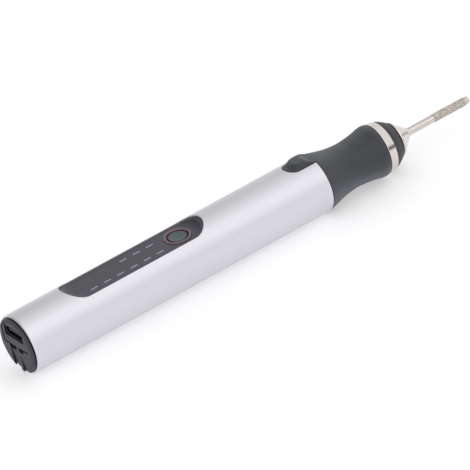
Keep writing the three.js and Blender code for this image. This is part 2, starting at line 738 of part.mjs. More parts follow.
// Front core: motor plate, coupling room, bearing shoulder and the neck that carries grip, ring and cap.
const recessZ = boreRadius - tongue.floorDepth;
function frontCore() {
  const wideRoom = boreRadius - fit - core.cavityWall;
  const narrowRoom = coupling.radius + coupling.clearance;
  const wideEnd = plateEnd + core.cavityDepth;
  const shoulderStart = tubeFront + shoulder.fromRim;
  const rimFace = tubeFront - seam;
  const seat = bearing.outerRadius + runningFit;
  const body = turned([
    [plateStart, bush.radius + fit],
    [plateStart, chassisRadius],
    [rimFace, chassisRadius],
    [rimFace, neckRadius],
    [coreEnd, neckRadius],
    [coreEnd, seat],
    [seatStart, seat],
    [seatStart, shoulder.innerRadius],
    [shoulderStart, shoulder.innerRadius],
    [shoulderStart, narrowRoom],
    [wideEnd, narrowRoom],
    [wideEnd, wideRoom],
    [plateEnd, wideRoom],
    [plateEnd, bush.radius + fit],
    [plateStart, bush.radius + fit],
  ], casingSides);
  const recessStart = tubeLength - notch.depth - fit;
  const halfNotch = notch.width / 2;
  const recess = box(recessStart, gripStart + fit, -halfNotch, halfNotch, recessZ, tubeRadius);
  return cutBy(body, recess, ...screwHoles(plateStart, plateEnd));
}

// Ball bearing: outer ring, inner ring, and its balls held by a thin cage.
const ballOrbit = (bearing.outerRadius + bearing.innerRadius) / 2;
function ballCage(start) {
  const middle = start + bearing.width / 2;
  const halfWidth = cage.width / 2;
  const inner = ballOrbit - cage.depth / 2;
  const band = sleeve(middle - halfWidth, middle + halfWidth, inner, inner + cage.depth);
  const balls = Array.from({ length: bearing.balls }, (_, i) => {
    const geometry = new THREE.SphereGeometry(bearing.ballRadius, ballSides, ballSides);
    const turn = i * 2 * Math.PI / bearing.balls;
    geometry.translate(middle, ballOrbit * Math.cos(turn), ballOrbit * Math.sin(turn));
    return solid(geometry);
  });
  return joined(band, ...balls);
}

const bearingNames = [['rear', seatStart], ['front', frontBearingStart]];

// Spindle: tail in the coupling, shoulders against the inner rings, bore for the bit, socket for the collet.
function spindleShaft() {
  const bitRoom = bit.radius + fit;
  const bodyStart = couplingEnd + spindle.cavityMargin;
  const roomStart = bitStart - spindle.cavityMargin;
  const colletRoom = colletTail - seam;
  const shoulderStart = seatStart + bearing.width + runningFit;
  const shoulderEnd = frontBearingStart - runningFit;
  return turned([
    [spindleTail, 0],
    [spindleTail, spindle.tailRadius],
    [bodyStart, spindle.tailRadius],
    [bodyStart, spindle.radius],
    [shoulderStart, spindle.radius],
    [shoulderStart, spindle.shoulderRadius],
    [shoulderEnd, spindle.shoulderRadius],
    [shoulderEnd, spindle.radius],
    [spindleEnd, spindle.radius],
    [spindleEnd, spindle.socketRadius],
    [colletRoom, spindle.socketRadius],
    [colletRoom, bitRoom],
    [roomStart, bitRoom],
    [roomStart, 0],
  ]);
}

// Collet: a split sleeve whose cone closes on the bit's shank when the nut is turned home.
const colletTail = colletHeadStart - collet.tail;
function colletSleeve() {
  const bore = bit.radius + runningFit;
  const headEnd = colletHeadStart + collet.headWidth;
  const body = turned([
    [colletTail, bore],
    [colletTail, collet.radius],
    [colletHeadStart, collet.radius],
    [colletHeadStart, collet.headRadius],
    [headEnd, collet.headRadius],
    [colletEnd, collet.jawRadius],
    [colletEnd, bore],
    [colletTail, bore],
  ]);
  const slitStart = colletTail + collet.collar;
  const half = collet.slit / 2;
  return cutBy(
    body,
    box(slitStart, colletEnd + overrun, -half, half, -nut.rearRadius, nut.rearRadius),
    box(slitStart, colletEnd + overrun, -nut.rearRadius, nut.rearRadius, -half, half),
  );
}

// Collet nut: a cone whose mouth follows the collet's head.
function colletNut() {
  const coneStart = colletHeadStart + collet.headWidth;
  const slope = (collet.headRadius - collet.jawRadius) / (colletEnd - coneStart);
  const mouth = collet.headRadius + fit - slope * (nutEnd - coneStart);
  return turned([
    [nutStart, nut.threadRadius],
    [nutStart, nut.rearRadius - nut.rim],
    [nutStart + nut.rim, nut.rearRadius],
    [nutEnd, nut.frontRadius],
    [nutEnd, mouth],
    [coneStart, collet.headRadius + fit],
    [coneStart, nut.threadRadius],
    [nutStart, nut.threadRadius],
  ], casingSides);
}

// The grip's outline in two runs, rear rim to waist and waist to shoulder: shares of the run and the swell.
const gripRearShares = [
  [0, 1], [0.19, 0.72], [0.37, 0.46], [0.55, 0.25], [0.73, 0.1], [0.9, 0.02], [1, 0],
];
const gripFrontShares = [
  [0.23, 0.13], [0.47, 0.34], [0.7, 0.63], [0.81, 0.83], [0.9, 0.96], [0.97, 1], [1, 0.985],
];
const waistX = gripStart + grip.length * grip.waistShare;

// The tongue has a bow at the rear and a crest that falls into the grip: shares of its length and its rise.
// Its sides lean in more and more towards the crest, so that the crest's edge is rounded.
const tongueHeightShares = [0, 0.35, 0.7, 1];
const tongueFallShares = [[0, 1], [0.47, 1], [0.68, 0.72], [0.8, 0.25], [0.9, -0.3], [1, -1.1]];

function fallAt(share) {
  const last = tongueFallShares.length - 1;
  const next = Math.min(last, Math.max(1, tongueFallShares.findIndex(([at]) => at >= share)));
  const [at0, rise0] = tongueFallShares[next - 1];
  const [at1, rise1] = tongueFallShares[next];
  return rise0 + (rise1 - rise0) * (share - at0) / (at1 - at0);
}

function gripTongue() {
  const half = notch.width / 2 - fit;
  const rear = tubeFront - notch.depth + fit;
  const end = gripStart + tongue.reach;
  const crestStart = rear + tongue.crestSetback;
  const edgeZ = Math.sqrt(tubeRadius ** 2 - half ** 2);
  const floorZ = recessZ + fit;
  const pastFront = (x) => Math.max(0, (x - tubeFront) / (end - tubeFront));
  const steps = 2 * roundSteps;
  const rings = tongueHeightShares.map((share) => {
    const lean = share ** 2;
    const bowStart = rear + tongue.crestSetback * lean;
    const bowHalf = half + (tongue.crestHalfWidth - half) * lean;
    const bowEnd = bowStart + half + (tongue.crestBow - half) * lean;
    const bow = Array.from({ length: steps + 1 }, (_, i) => {
      const turn = i / steps * Math.PI / 2;
      return [bowEnd - (bowEnd - bowStart) * Math.cos(turn), bowHalf * Math.sin(turn)];
    });
    const fall = tongueFallShares.slice(1).map(([along]) => {
      const x = crestStart + along * (end - crestStart);
      return [x, bowHalf + (tongue.endHalfWidth - bowHalf) * pastFront(x)];
    });
    const side = [...bow, ...fall];
    const farSide = side.slice().reverse();
    const nearSide = side.slice(1).map(([x, y]) => [x, -y]);
    const outline = [...farSide, ...nearSide];
    return outline.map(([x, y]) => {
      const along = Math.max(0, (x - crestStart) / (end - crestStart));
      const low = edgeZ + (floorZ + fit - edgeZ) * pastFront(x);
      const top = tubeRadius + tongue.crestRise * fallAt(along);
      return [x, y, low + (top - low) * share];
    });
  });
  rings.unshift(rings[0].map(([x, y]) => [x, y, floorZ]));
  const count = rings[0].length;
  const points = rings.flat();
  const faces = [];
  for (let level = 0; level + 1 < rings.length; level += 1) {
    for (let i = 0; i < count; i += 1) {
      const a = level * count + i;
      const b = level * count + (i + 1) % count;
      faces.push(a, b, b + count, a, b + count, a + count);
    }
  }
  const top = (rings.length - 1) * count;
  for (let i = 0; i < count / 2 - 1; i += 1) {
    const [a, b, c, d] = [i, i + 1, count - 2 - i, count - 1 - i];
    faces.push(d, c, b, d, b, a);
    faces.push(top + a, top + b, top + c, top + a, top + c, top + d);
  }
  const geometry = new THREE.BufferGeometry();
  geometry.setAttribute('position', new THREE.Float32BufferAttribute(points.flat(), 3));
  geometry.setIndex(faces);
  return solid(geometry);
}

function gripSleeve() {
  const inner = neckRadius + fit;
  const rearRun = waistX - gripStart;
  const frontRun = gripEnd - waistX;
  const profile = [[gripStart, inner]];
  gripRearShares.forEach(([along, swell]) => {
    profile.push([gripStart + along * rearRun, waistRadius + swell * (gripRearRadius - waistRadius)]);
  });
  gripFrontShares.forEach(([along, swell]) => {
    profile.push([waistX + along * frontRun, waistRadius + swell * grip.shoulderSwell]);
  });
  profile.push([gripEnd, inner], [gripStart, inner]);
  return joined(turned(profile, casingSides), gripTongue());
}

function trimRingBody() {
  const inner = neckRadius + fit;
  const front = shoulderRadius - trimRing.taper;
  return turned([
    [ringStart, inner],
    [ringStart, shoulderRadius - trimRing.edge],
    [ringStart + trimRing.edge, shoulderRadius],
    [ringEnd - trimRing.edge, front + trimRing.edge / 2],
    [ringEnd, front - trimRing.edge / 2],
    [ringEnd, inner],
    [ringStart, inner],
  ], casingSides);
}

// The nose cap's convex outline: shares of its width and of its fall in radius.
const noseShares = [[0, 0], [0.3, 0.14], [0.53, 0.37], [0.78, 0.66], [1, 1]];
function noseCapBody() {
  const rear = shoulderRadius - trimRing.taper - noseCap.rearInset;
  const threadRoom = neckRadius + fit;
  const sealRoom = seal.outerRadius + fit;
  const sealEnd = capEnd - noseCap.lipWall;
  const profile = [[capStart, threadRoom]];
  noseShares.forEach(([along, fall]) => {
    profile.push([capStart + along * noseCap.width, rear - fall * (rear - noseCap.frontRadius)]);
  });
  const lip = spindle.radius + movingGap;
  profile.push([capEnd, lip], [sealEnd, lip], [sealEnd, sealRoom]);
  profile.push([coreEnd + fit, sealRoom], [coreEnd + fit, threadRoom], [capStart, threadRoom]);
  return turned(profile, casingSides);
}

function dustSeal() {
  const end = capEnd - noseCap.lipWall - runningFit;
  return sleeve(end - seal.width, end, spindle.radius + runningFit, seal.outerRadius);
}

// Bit: a shank that thins to a core under the abrasive and ends in a bare tip.
function bitShank() {
  return turned([
    [bitStart, 0],
    [bitStart, bit.radius - bitDetail.edge],
    [bitStart + bitDetail.edge, bit.radius],
    [bitHeadStart - bitDetail.step, bit.radius],
    [bitHeadStart, bit.core],
    [bitHeadEnd, bit.core],
    [bitHeadEnd, bit.radius],
    [bitEnd - bitDetail.edge, bit.radius],
    [bitEnd, bit.radius - bitDetail.edge],
    [bitEnd, 0],
  ]);
}

// The abrasive is a sleeve whose surface rises and falls a little from ring to ring.
function bitHead() {
  const start = bitHeadStart + runningFit;
  const end = bitHeadEnd - runningFit;
  const inner = bit.core + runningFit;
  const profile = [[start, inner]];
  const steps = 2 * bitDetail.ridges;
  for (let i = 0; i <= steps; i += 1) {
    const swell = i % 2 === 0 ? 0 : bitDetail.grit;
    profile.push([start + i / steps * (end - start), bit.headRadius - bitDetail.grit + swell]);
  }
  profile.push([end, inner], [start, inner]);
  return turned(profile);
}

// The casing and what shows on it
piece('body_tube', bodyTube(), satinMetal);
piece('tail_cap', tailCap(), darkPlastic);
piece('port_bezel', portBezel(), darkPlastic);
piece('socket_shell', socketShell(), steel);
piece('socket_tongue', socketTongue(), blackPlastic);
piece('control_panel', controlPanel(), panelPlastic);
piece('button_ring', buttonRing(), redClear);
piece('power_button', powerButton(), greyButton);
piece('level_light_guide', lightGuide(windowRows[0]), milkyClear);
piece('speed_light_guide', lightGuide(windowRows[1]), milkyClear);
piece('grip_sleeve', gripSleeve(), softGrip);
piece('trim_ring', trimRingBody(), polishedMetal);
piece('nose_cap', noseCapBody(), darkPlastic);

// The board and what is on it
piece('circuit_board', circuitBoard(), greenBoard);
piece('push_switch_body', switchBody(), steel);
piece('push_switch_plunger', switchPlunger(), blackPlastic);
piece('level_light_bar', lightBar(windowRows[0]), whitePlastic);
piece('speed_light_bar', lightBar(windowRows[1]), whitePlastic);
piece('ring_light', ringLight(), whitePlastic);
piece('microcontroller', leadedChip(controlChipX, controlChip), blackPlastic);
piece('motor_driver_chip', leadedChip(driverChipX, driverChip), blackPlastic);
piece('charge_chip', leadedChip(chargeChipX, chargeChip), blackPlastic);
piece('boost_inductor', boostCoil(), darkMagnet);

// The battery and the chassis
piece('battery_cell', batteryCell(), batteryWrap);
piece('battery_negative_tab', batteryTab(rearTabX), nickel);
piece('battery_positive_tab', batteryTab(frontTabX), nickel);
piece('battery_pad', rod(padX, padX + pad.thickness, pad.radius).translate([0, 0, batteryZ]), felt);
piece('chassis', chassis(), whitePlastic);

// The motor
piece('motor_can', motorCan(), steel);
piece('motor_end_bell', endBell(), blackPlastic);
piece('motor_terminal_left', motorTerminal(1), copper);
piece('motor_terminal_right', motorTerminal(-1), copper);
piece('motor_magnet', magnetRing(), darkMagnet);
piece('motor_armature', armatureBody(), copper);
piece('motor_shaft', rod(motorStart + fit, motorShaftEnd, motor.shaftRadius, smallSides), steel);
const bushEnd = motorEnd + bush.proud;
const bushStart = bushEnd - bush.length;
piece('motor_front_bush', sleeve(bushStart, bushEnd, motor.shaftRadius + runningFit, bush.radius), bronze);
piece('motor_screw_left', motorScrew(1), steel);
piece('motor_screw_right', motorScrew(-1), steel);

// Leads from the battery and the motor up to the board
const leadTop = boardUnder - fit;
const tabTop = batteryZ + tab.up;
const leadBow = 1.3;
function batteryLead(tabX, away) {
  const start = tabTop - wire.radius;
  const x = tabX + away * (tab.thickness / 2 + wire.radius + wire.landing);
  const farX = x + away * leadBow / 2;
  return wireSolid([[x, 0, start], [farX, 0, (start + leadTop) / 2], [farX, 0, leadTop]]);
}
piece('battery_lead_negative', batteryLead(rearTabX, -1), blackWire);
piece('battery_lead_positive', batteryLead(frontTabX, 1), redWire);
function motorLead(side) {
  const y = side * terminal.side;
  const x = motorStart - runningFit - terminal.length - fit;
  const rise = wire.radius + fit;
  return wireSolid([[x, y, rise], [x - leadBow, y, leadTop / 2], [x - leadBow, y, leadTop]]);
}
piece('motor_lead_left', motorLead(1), redWire);
piece('motor_lead_right', motorLead(-1), blackWire);

// The drive line and the nose
piece('shaft_coupling', shaftCoupling(), blackPlastic);
piece('front_core', frontCore(), blackPlastic);
bearingNames.forEach(([place, start]) => {
  const end = start + bearing.width;
  const outerInside = bearing.outerRadius - bearing.ringWall;
  const innerOutside = bearing.innerRadius + bearing.ringWall;
  piece(`${place}_bearing_outer_ring`, sleeve(start, end, outerInside, bearing.outerRadius), steel);
  piece(`${place}_bearing_inner_ring`, sleeve(start, end, bearing.innerRadius, innerOutside), steel);
  piece(`${place}_bearing_balls`, ballCage(start), nickel);
});
const spacerStart = seatStart + bearing.width + seam;
const spacerEnd = frontBearingStart - seam;
const spacerInner = bearing.outerRadius - bearing.ringWall;
piece('bearing_spacer', sleeve(spacerStart, spacerEnd, spacerInner, bearing.outerRadius), satinMetal);
const retainerStart = frontBearingEnd + seam;
const retainerEnd = retainerStart + retainer.width;
piece('bearing_retainer', sleeve(retainerStart, retainerEnd, retainer.innerRadius, bearing.outerRadius), steel);
piece('dust_seal', dustSeal(), felt);
piece('spindle_shaft', spindleShaft(), steel);
piece('collet', colletSleeve(), steel);
piece('collet_nut', colletNut(), polishedMetal);
piece('bit_shank', bitShank(), toolSteel);
piece('bit_head', bitHead(), gritMetal);

// The pen lies on the tube's lowest flat, and its origin is under the middle of its length.
const flatRadius = tubeRadius * Math.cos(Math.PI / casingSides);
pen.position.set((cap.height - bitEnd) / 2, 0, flatRadius);

export default pen;
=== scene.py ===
# %% [markdown]
# # A cordless engraving pen
# The pen is a satin metal tube with a dark control panel sunk in its top, a plastic cap with the charging
# port at its tail, a soft waisted grip, and a metal nose that holds an abrasive bit. The CAD model gives the
# sizes and everything that moves. This lesson dresses that model: it makes the surfaces that are seen and
# gives the hidden pieces their finishes.

# %% The frame
import json
import math

import bmesh
import bpy
import numpy as np
from mathutils import Matrix, Vector
from mathutils.geometry import delaunay_2d_cdt


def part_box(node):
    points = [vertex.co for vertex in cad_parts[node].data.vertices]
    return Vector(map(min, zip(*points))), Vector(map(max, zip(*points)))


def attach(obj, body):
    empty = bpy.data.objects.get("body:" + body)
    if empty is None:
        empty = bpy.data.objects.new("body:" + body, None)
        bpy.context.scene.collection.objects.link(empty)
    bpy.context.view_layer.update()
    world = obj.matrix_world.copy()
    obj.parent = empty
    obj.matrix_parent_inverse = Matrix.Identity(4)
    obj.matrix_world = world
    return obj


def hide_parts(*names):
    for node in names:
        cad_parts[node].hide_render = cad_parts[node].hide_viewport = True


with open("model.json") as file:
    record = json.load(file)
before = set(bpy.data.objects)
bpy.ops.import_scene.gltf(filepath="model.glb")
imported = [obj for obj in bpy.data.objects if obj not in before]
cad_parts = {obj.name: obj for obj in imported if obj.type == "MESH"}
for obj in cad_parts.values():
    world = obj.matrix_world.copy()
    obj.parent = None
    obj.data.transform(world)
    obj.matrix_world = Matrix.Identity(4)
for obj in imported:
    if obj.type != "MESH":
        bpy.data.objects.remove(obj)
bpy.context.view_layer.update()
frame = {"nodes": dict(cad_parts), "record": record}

# %% [markdown]
# ## Drawing in millimetres
# The frame is in metres with its floor at zero. A pen is easier to draw in millimetres from the tube's rear
# rim, with the tube's axis as the zero line. One matrix goes from the drawing to the frame, and its inverse
# reads a CAD node's box in the drawing's terms, so no place is typed in twice.

# %% The drawing's axes
MM = 0.001
tube_low, tube_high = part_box("body_tube")
axis_height = (tube_low.z + tube_high.z) / 2
to_frame = Matrix.Translation((tube_low.x, 0, axis_height)) @ Matrix.Diagonal((MM, MM, MM, 1))
to_drawing = to_frame.inverted()


def drawn_box(node):
    """The lowest and highest corner of a CAD node, in millimetres."""
    low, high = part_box(node)
    return to_drawing @ low, to_drawing @ high


TUBE_RADIUS = drawn_box("body_tube")[1].z - 0.001
TUBE_LENGTH = drawn_box("body_tube")[1].x
print(f"tube {TUBE_LENGTH:.2f} mm long, radius {TUBE_RADIUS:.2f} mm")

# %% [markdown]
# ## The camera
# A long lens from above and in front of the tail end. It was fitted to the round rims of the tube, whose
# ellipses give the direction, the distance and the roll of the view.

# %% The camera
camera_data = bpy.data.cameras.new("camera")
camera_data.sensor_width = 36
camera_data.lens = 408.715
camera_data.clip_start = 0.1
camera_data.clip_end = 20
camera = bpy.data.objects.new("camera", camera_data)
camera.location = to_frame @ Vector((-548.5, -1141.8, 758.9))
camera.rotation_euler = [math.radians(turn) for turn in (58.968, 11.473, -35.425)]
bpy.context.scene.collection.objects.link(camera)
bpy.context.scene.camera = camera

# %% [markdown]
# ## Wiring nodes
# The sky, every finish and each Geometry Nodes tree is a set of nodes with links between them. Written out,
# that takes four lines a node, so one function makes a node and fills its inputs: where it is given a socket
# it makes a link, and any other value is written on the input.

# %% A node and its inputs


def wire(node, inputs):
    """Fills a node's inputs, by name or by number: a socket is linked, and any other value is set."""
    for name, value in inputs.items():
        if isinstance(value, bpy.types.NodeSocket):
            node.id_data.links.new(value, node.inputs[name])
        else:
            node.inputs[name].default_value = value
    return node


def add(tree, kind, inputs=None, **settings):
    """A new node in a tree, with its settings and its inputs."""
    node = tree.nodes.new(kind)
    for name, value in settings.items():
        setattr(node, name, value)
    return wire(node, inputs or {})


def ramp(tree, source, stops):
    """A grey ramp through stops of (position, grey)."""
    node = add(tree, "ShaderNodeValToRGB", {"Fac": source})
    line = node.color_ramp.elements
    while len(line) < len(stops):
        line.new(0.5)
    for spot, (position, grey) in zip(line, stops):
        spot.position = position
        spot.color = (grey, grey, grey, 1)
    return node.outputs["Color"]


# %% [markdown]
# ## The sky
# Satin and polished metal show what is round them, so the surroundings are part of the look: a white
# backdrop, a dark cloth hung high on the far side towards the tail, and one small dark card low down ahead
# of the pen. Cloth and card are patches of the sky, drawn by a ray's direction. They show only for rays from
# the camera, off gloss and through glass. All other rays meet an even, plain sky, and it gives most of the
# light.

# %% The sky
scene = bpy.context.scene
scene.view_settings.view_transform = "Standard"
world = bpy.data.worlds.new("studio")
scene.world = world
world.use_nodes = True
sky = world.node_tree
sky.nodes.clear()
sky_way = add(sky, "ShaderNodeTexCoord").outputs["Generated"]


def seen_ray(tree):
    """1 for a ray from the camera, off a glossy surface or through glass, and 0 for the others."""
    ray = add(tree, "ShaderNodeLightPath").outputs
    either = ray["Is Camera Ray"]
    for kind in ("Is Glossy Ray", "Is Transmission Ray"):
        either = add(tree, "ShaderNodeMath", {0: either, 1: ray[kind]}, operation="MAXIMUM").outputs["Value"]
    return either


def patch(centre, stops):
    """Grey by the distance of a ray's direction from the patch's centre."""
    off = add(sky, "ShaderNodeVectorMath", {0: sky_way, 1: centre}, operation="DISTANCE").outputs["Value"]
    half = add(sky, "ShaderNodeMath", {0: off, 1: 0.5}, operation="MULTIPLY").outputs["Value"]
    return ramp(sky, half, [(distance / 2, grey) for distance, grey in stops])


def mixed(tree, amount, first, second, blend_type="MIX"):
    """Two colours mixed by an amount."""
    inputs = {0: amount, 6: first, 7: second}
    return add(tree, "ShaderNodeMix", inputs, data_type="RGBA", blend_type=blend_type).outputs[2]


cloth = patch((-0.5, 0.7, 0.5), ((0.45, 0.04), (0.97, 0.74), (1.1, 0.95), (1.3, 1)))
card = patch((0.66, -0.75, 0.06), ((0.14, 0.04), (0.19, 1)))
sky_height = add(sky, "ShaderNodeSeparateXYZ", {"Vector": sky_way}).outputs["Z"]
cloth_share = add(sky, "ShaderNodeMapRange", {"Value": sky_height, "From Min": 0.15, "From Max": 0.4})
backdrop = mixed(sky, cloth_share.outputs["Result"], (1, 1, 1, 1), cloth)
backdrop = mixed(sky, 1, backdrop, card, "MULTIPLY")
sky_soft = add(sky, "ShaderNodeBackground", {"Color": (0.97, 0.97, 1.0, 1), "Strength": 0.8})
sky_white = add(sky, "ShaderNodeBackground", {"Color": backdrop, "Strength": 1})
sky_mix = add(sky, "ShaderNodeMixShader", {
    "Fac": seen_ray(sky), 1: sky_soft.outputs["Background"], 2: sky_white.outputs["Background"]})
add(sky, "ShaderNodeOutputWorld", {"Surface": sky_mix.outputs["Shader"]})
print(len(sky.nodes), "nodes in the sky")

# %% [markdown]
# ## The floor and the lamps
# The floor is plain white. For the rays that meet the backdrop it also glows a little, which brings it up to
# the same white, and it keeps the pen's shadow. Two soft lamps give the light a side: a big one above the
# near side and a smaller one level with the tail.

# %% Floor and lamps
floor_mesh = bpy.data.meshes.new("floor")
reach = 3.0
floor_corners = [(-reach, -reach, 0), (reach, -reach, 0), (reach, reach, 0), (-reach, reach, 0)]
floor_mesh.from_pydata(floor_corners, [], [(0, 1, 2, 3)])
floor = bpy.data.objects.new("floor", floor_mesh)
scene.collection.objects.link(floor)
floor_look = bpy.data.materials.new("floor_white")
floor_look.use_nodes = True
paper = floor_look.node_tree
paper_place = add(paper, "ShaderNodeTexCoord").outputs["Object"]
paper_grain = add(paper, "ShaderNodeTexNoise", {"Vector": paper_place, "Scale": 40}).outputs["Fac"]
paper_glow = add(paper, "ShaderNodeMath", {0: seen_ray(paper), 1: 0.36}, operation="MULTIPLY")
wire(paper.nodes["Principled BSDF"], {
    "Base Color": ramp(paper, paper_grain, ((0, 0.76), (1, 0.8))), "Roughness": 0.9,
    "Emission Color": (1, 1, 1, 1), "Emission Strength": paper_glow.outputs["Value"]})
floor_mesh.materials.append(floor_look)


lamp_distance = 1.6


def lamp(name, direction, size, radiance):
    """A square soft box that shines on the pen from a direction, as bright to look at as its radiance."""
    data = bpy.data.lights.new(name, "AREA")
    data.shape = "RECTANGLE"
    data.size = size
    data.size_y = size
    data.energy = radiance * math.pi * size * size
    light = bpy.data.objects.new(name, data)
    way = Vector(direction).normalized()
    light.location = Vector((0, 0, axis_height)) + way * lamp_distance
    light.rotation_euler = (-way).to_track_quat("-Z", "Y").to_euler()
    scene.collection.objects.link(light)


lamp("above", (0.15, -0.6, 0.78), 1.4, 0.5)
lamp("by_tail", (-0.78, -0.62, 0.12), 1.0, 0.8)

# %% [markdown]
# ## Finishes
# Every finish starts from one recipe: fine grain on the colour, the roughness and the height of the surface.
# The grain is read from Object coordinates in metres, so its size is that of the real texture. A turned
# surface stretches the grain round the pen's axis, which leaves only rings along it. What is special to a
# finish is added to its tree afterwards.

# %% The common recipe


def paint(red, green, blue):
    """A screen colour of 0 to 255 as the linear colour that a shader wants."""
    shares = (red / 255, green / 255, blue / 255)
    return (*(c / 12.92 if c <= 0.04 else ((c + 0.055) / 1.055) ** 2.4 for c in shares), 1)


finishes = {}


def finish(slot, light, dark, grain, roughness, bump, metallic=0.0, stretch=(1, 1, 1)):
    """Grain in millimetres, roughness from smooth to rough, bump in millimetres."""
    look = bpy.data.materials.new(slot)
    look.use_nodes = True
    tree = look.node_tree
    place = add(tree, "ShaderNodeTexCoord").outputs["Object"]
    turn = add(tree, "ShaderNodeMapping", {"Vector": place, "Scale": stretch}).outputs["Vector"]
    grains = {"Vector": turn, "Scale": 1 / (grain * MM), "Detail": 3}
    noise = add(tree, "ShaderNodeTexNoise", grains).outputs["Fac"]
    colours = add(tree, "ShaderNodeValToRGB", {"Fac": noise}, name="colours")
    for spot, position, colour in zip(colours.color_ramp.elements, (0.3, 0.7), (dark, light)):
        spot.position = position
        spot.color = paint(*colour)
    rough = add(tree, "ShaderNodeMapRange", {"Value": noise, "To Min": roughness[0], "To Max": roughness[1]})
    height = add(tree, "ShaderNodeBump", {"Height": noise, "Distance": bump * MM, "Strength": 1})
    wire(tree.nodes["Principled BSDF"], {
        "Base Color": colours.outputs["Color"], "Roughness": rough.outputs["Result"],
        "Normal": height.outputs["Normal"], "Metallic": metallic})
    finishes[slot] = look


rings = (1, 0.02, 0.02)
finish("satin_metal", (225, 224, 229), (217, 216, 221), 0.12, (0.4, 0.5), 0.004, 0.75)
finish("dark_plastic", (58, 56, 63), (46, 44, 51), 0.15, (0.45, 0.6), 0.01)
finish("panel_plastic", (72, 73, 81), (63, 64, 71), 0.2, (0.3, 0.42), 0.004)
finish("soft_grip", (38, 41, 46), (29, 31, 36), 0.25, (0.55, 0.7), 0.01)
finish("polished_metal", (232, 224, 220), (205, 196, 191), 0.09, (0.12, 0.24), 0.003, 1.0, rings)
finish("tool_steel", (222, 214, 210), (196, 186, 181), 0.07, (0.2, 0.32), 0.003, 1.0, rings)
finish("grit_metal", (240, 232, 220), (150, 141, 131), 0.4, (0.4, 0.8), 0.03, 0.3)
finish("red_clear", (76, 22, 30), (60, 14, 22), 0.8, (0.2, 0.3), 0.002)
finish("grey_button", (82, 94, 99), (71, 84, 88), 0.12, (0.4, 0.5), 0.004)
finish("milky_clear", (168, 168, 176), (150, 150, 158), 0.5, (0.3, 0.4), 0.002)
finish("steel", (196, 197, 200), (168, 169, 172), 0.12, (0.25, 0.4), 0.003, 1.0, rings)
finish("nickel", (205, 201, 192), (182, 178, 168), 0.4, (0.25, 0.4), 0.003, 1.0)
finish("copper", (205, 130, 70), (160, 92, 44), 0.35, (0.3, 0.45), 0.04, 0.9, (0.05, 1, 1))
finish("bronze", (176, 136, 80), (146, 108, 60), 0.15, (0.45, 0.6), 0.01, 1.0)
finish("dark_magnet", (84, 84, 88), (58, 58, 62), 0.3, (0.5, 0.7), 0.02, 0.3)
finish("battery_wrap", (58, 112, 176), (46, 96, 156), 3.0, (0.2, 0.3), 0.02)
finish("green_board", (36, 104, 66), (26, 84, 50), 0.6, (0.25, 0.4), 0.01)
finish("black_plastic", (40, 40, 42), (30, 30, 32), 0.3, (0.4, 0.55), 0.01)
finish("white_plastic", (222, 221, 214), (208, 207, 200), 0.4, (0.4, 0.55), 0.01)
finish("felt", (118, 112, 100), (84, 79, 70), 0.12, (0.9, 1.0), 0.08)
finish("red_wire", (186, 40, 38), (160, 30, 30), 0.8, (0.35, 0.45), 0.005)
finish("black_wire", (36, 36, 36), (26, 26, 26), 0.8, (0.35, 0.45), 0.005)
finish("gilt", (226, 190, 110), (200, 160, 84), 0.3, (0.2, 0.3), 0.002, 1.0)
# Near-black steel; on the socket shell it is painted shade for the dark inside of the port window.
finish("painted_shade_steel", (40, 40, 42), (28, 28, 30), 0.12, (0.3, 0.4), 0.003, 0.3)
print(len(finishes), "finishes")

# %% [markdown]
# Two finishes change over the surface. The grip's rubber has a painted sheen where it is seen at a slant: a
# paler colour mixed in by the angle of view. The same share makes it reflect as a metal does, so the sheen
# is partly painted and partly a real reflection. The clear bead round the button has painted shade and
# light: it is dark red at its foot, where its gap lies in shade, and paler and milky at its crown.

# %% Rubber and bead


def blended(slot, amount, other):
    """Mixes a finish's colour with another one, by an amount that a socket gives."""
    tree = finishes[slot].node_tree
    colour = mixed(tree, amount, tree.nodes["colours"].outputs["Color"], paint(*other))
    wire(tree.nodes["Principled BSDF"], {"Base Color": colour})


rubber = finishes["soft_grip"].node_tree
# Painted sheen: the rubber's colour pales, and its reflection turns metal-like, as the view grows slanted.
slant = add(rubber, "ShaderNodeLayerWeight", {"Blend": 0.5}).outputs["Facing"]
painted_sheen = ramp(rubber, slant, ((0.12, 0), (0.28, 0.2), (0.37, 0.42), (0.49, 0.8), (0.62, 1)))
blended("soft_grip", painted_sheen, (116, 118, 124))
wire(rubber.nodes["Principled BSDF"], {"Specular IOR Level": 0.8, "Metallic": painted_sheen})

bead = finishes["red_clear"].node_tree
bead_place = add(bead, "ShaderNodeTexCoord").outputs["Object"]
bead_z = add(bead, "ShaderNodeSeparateXYZ", {"Vector": bead_place}).outputs["Z"]
# Painted shade and light on the bead: dark red below this height, growing paler and milky up to its crown.
painted_light_start = 5.9
painted_light_end = drawn_box("button_ring")[1].z
bead_foot, bead_crown = (axis_height + z * MM for z in (painted_light_start, painted_light_end))
bead_span = {"Value": bead_z, "From Min": bead_foot, "From Max": bead_crown}
bead_share = add(bead, "ShaderNodeMapRange", bead_span).outputs["Result"]
painted_bead_light = ramp(bead, bead_share, ((0, 0), (0.3, 0.25), (0.55, 0.75), (1, 1)))
blended("red_clear", painted_bead_light, (120, 98, 108))

# %% [markdown]
# ## From a drawing to a piece
# A piece is drawn as loose faces in millimetres. Making it sound means merging its doubled corners, turning
# its faces outwards and shading it so that the large faces lead: each corner's normal is weighted by the
# area round it, and a narrow round edge then looks narrow instead of bending the light of the flat beside it.

# %% Making a piece


def shade(mesh, skin=None):
    """Smooth shading by area. Where `skin` knows the surface's own normal at a point, that is used."""
    mesh.shade_smooth()
    totals = [Vector() for _ in mesh.vertices]
    for face in mesh.polygons:
        for corner in face.vertices:
            totals[corner] += face.normal * face.area
    normals = []
    for vertex, total in zip(mesh.vertices, totals):
        exact = skin(vertex.co) if skin else None
        normals.append(exact if exact else total.normalized())
    mesh.normals_split_custom_set_from_vertices(normals)


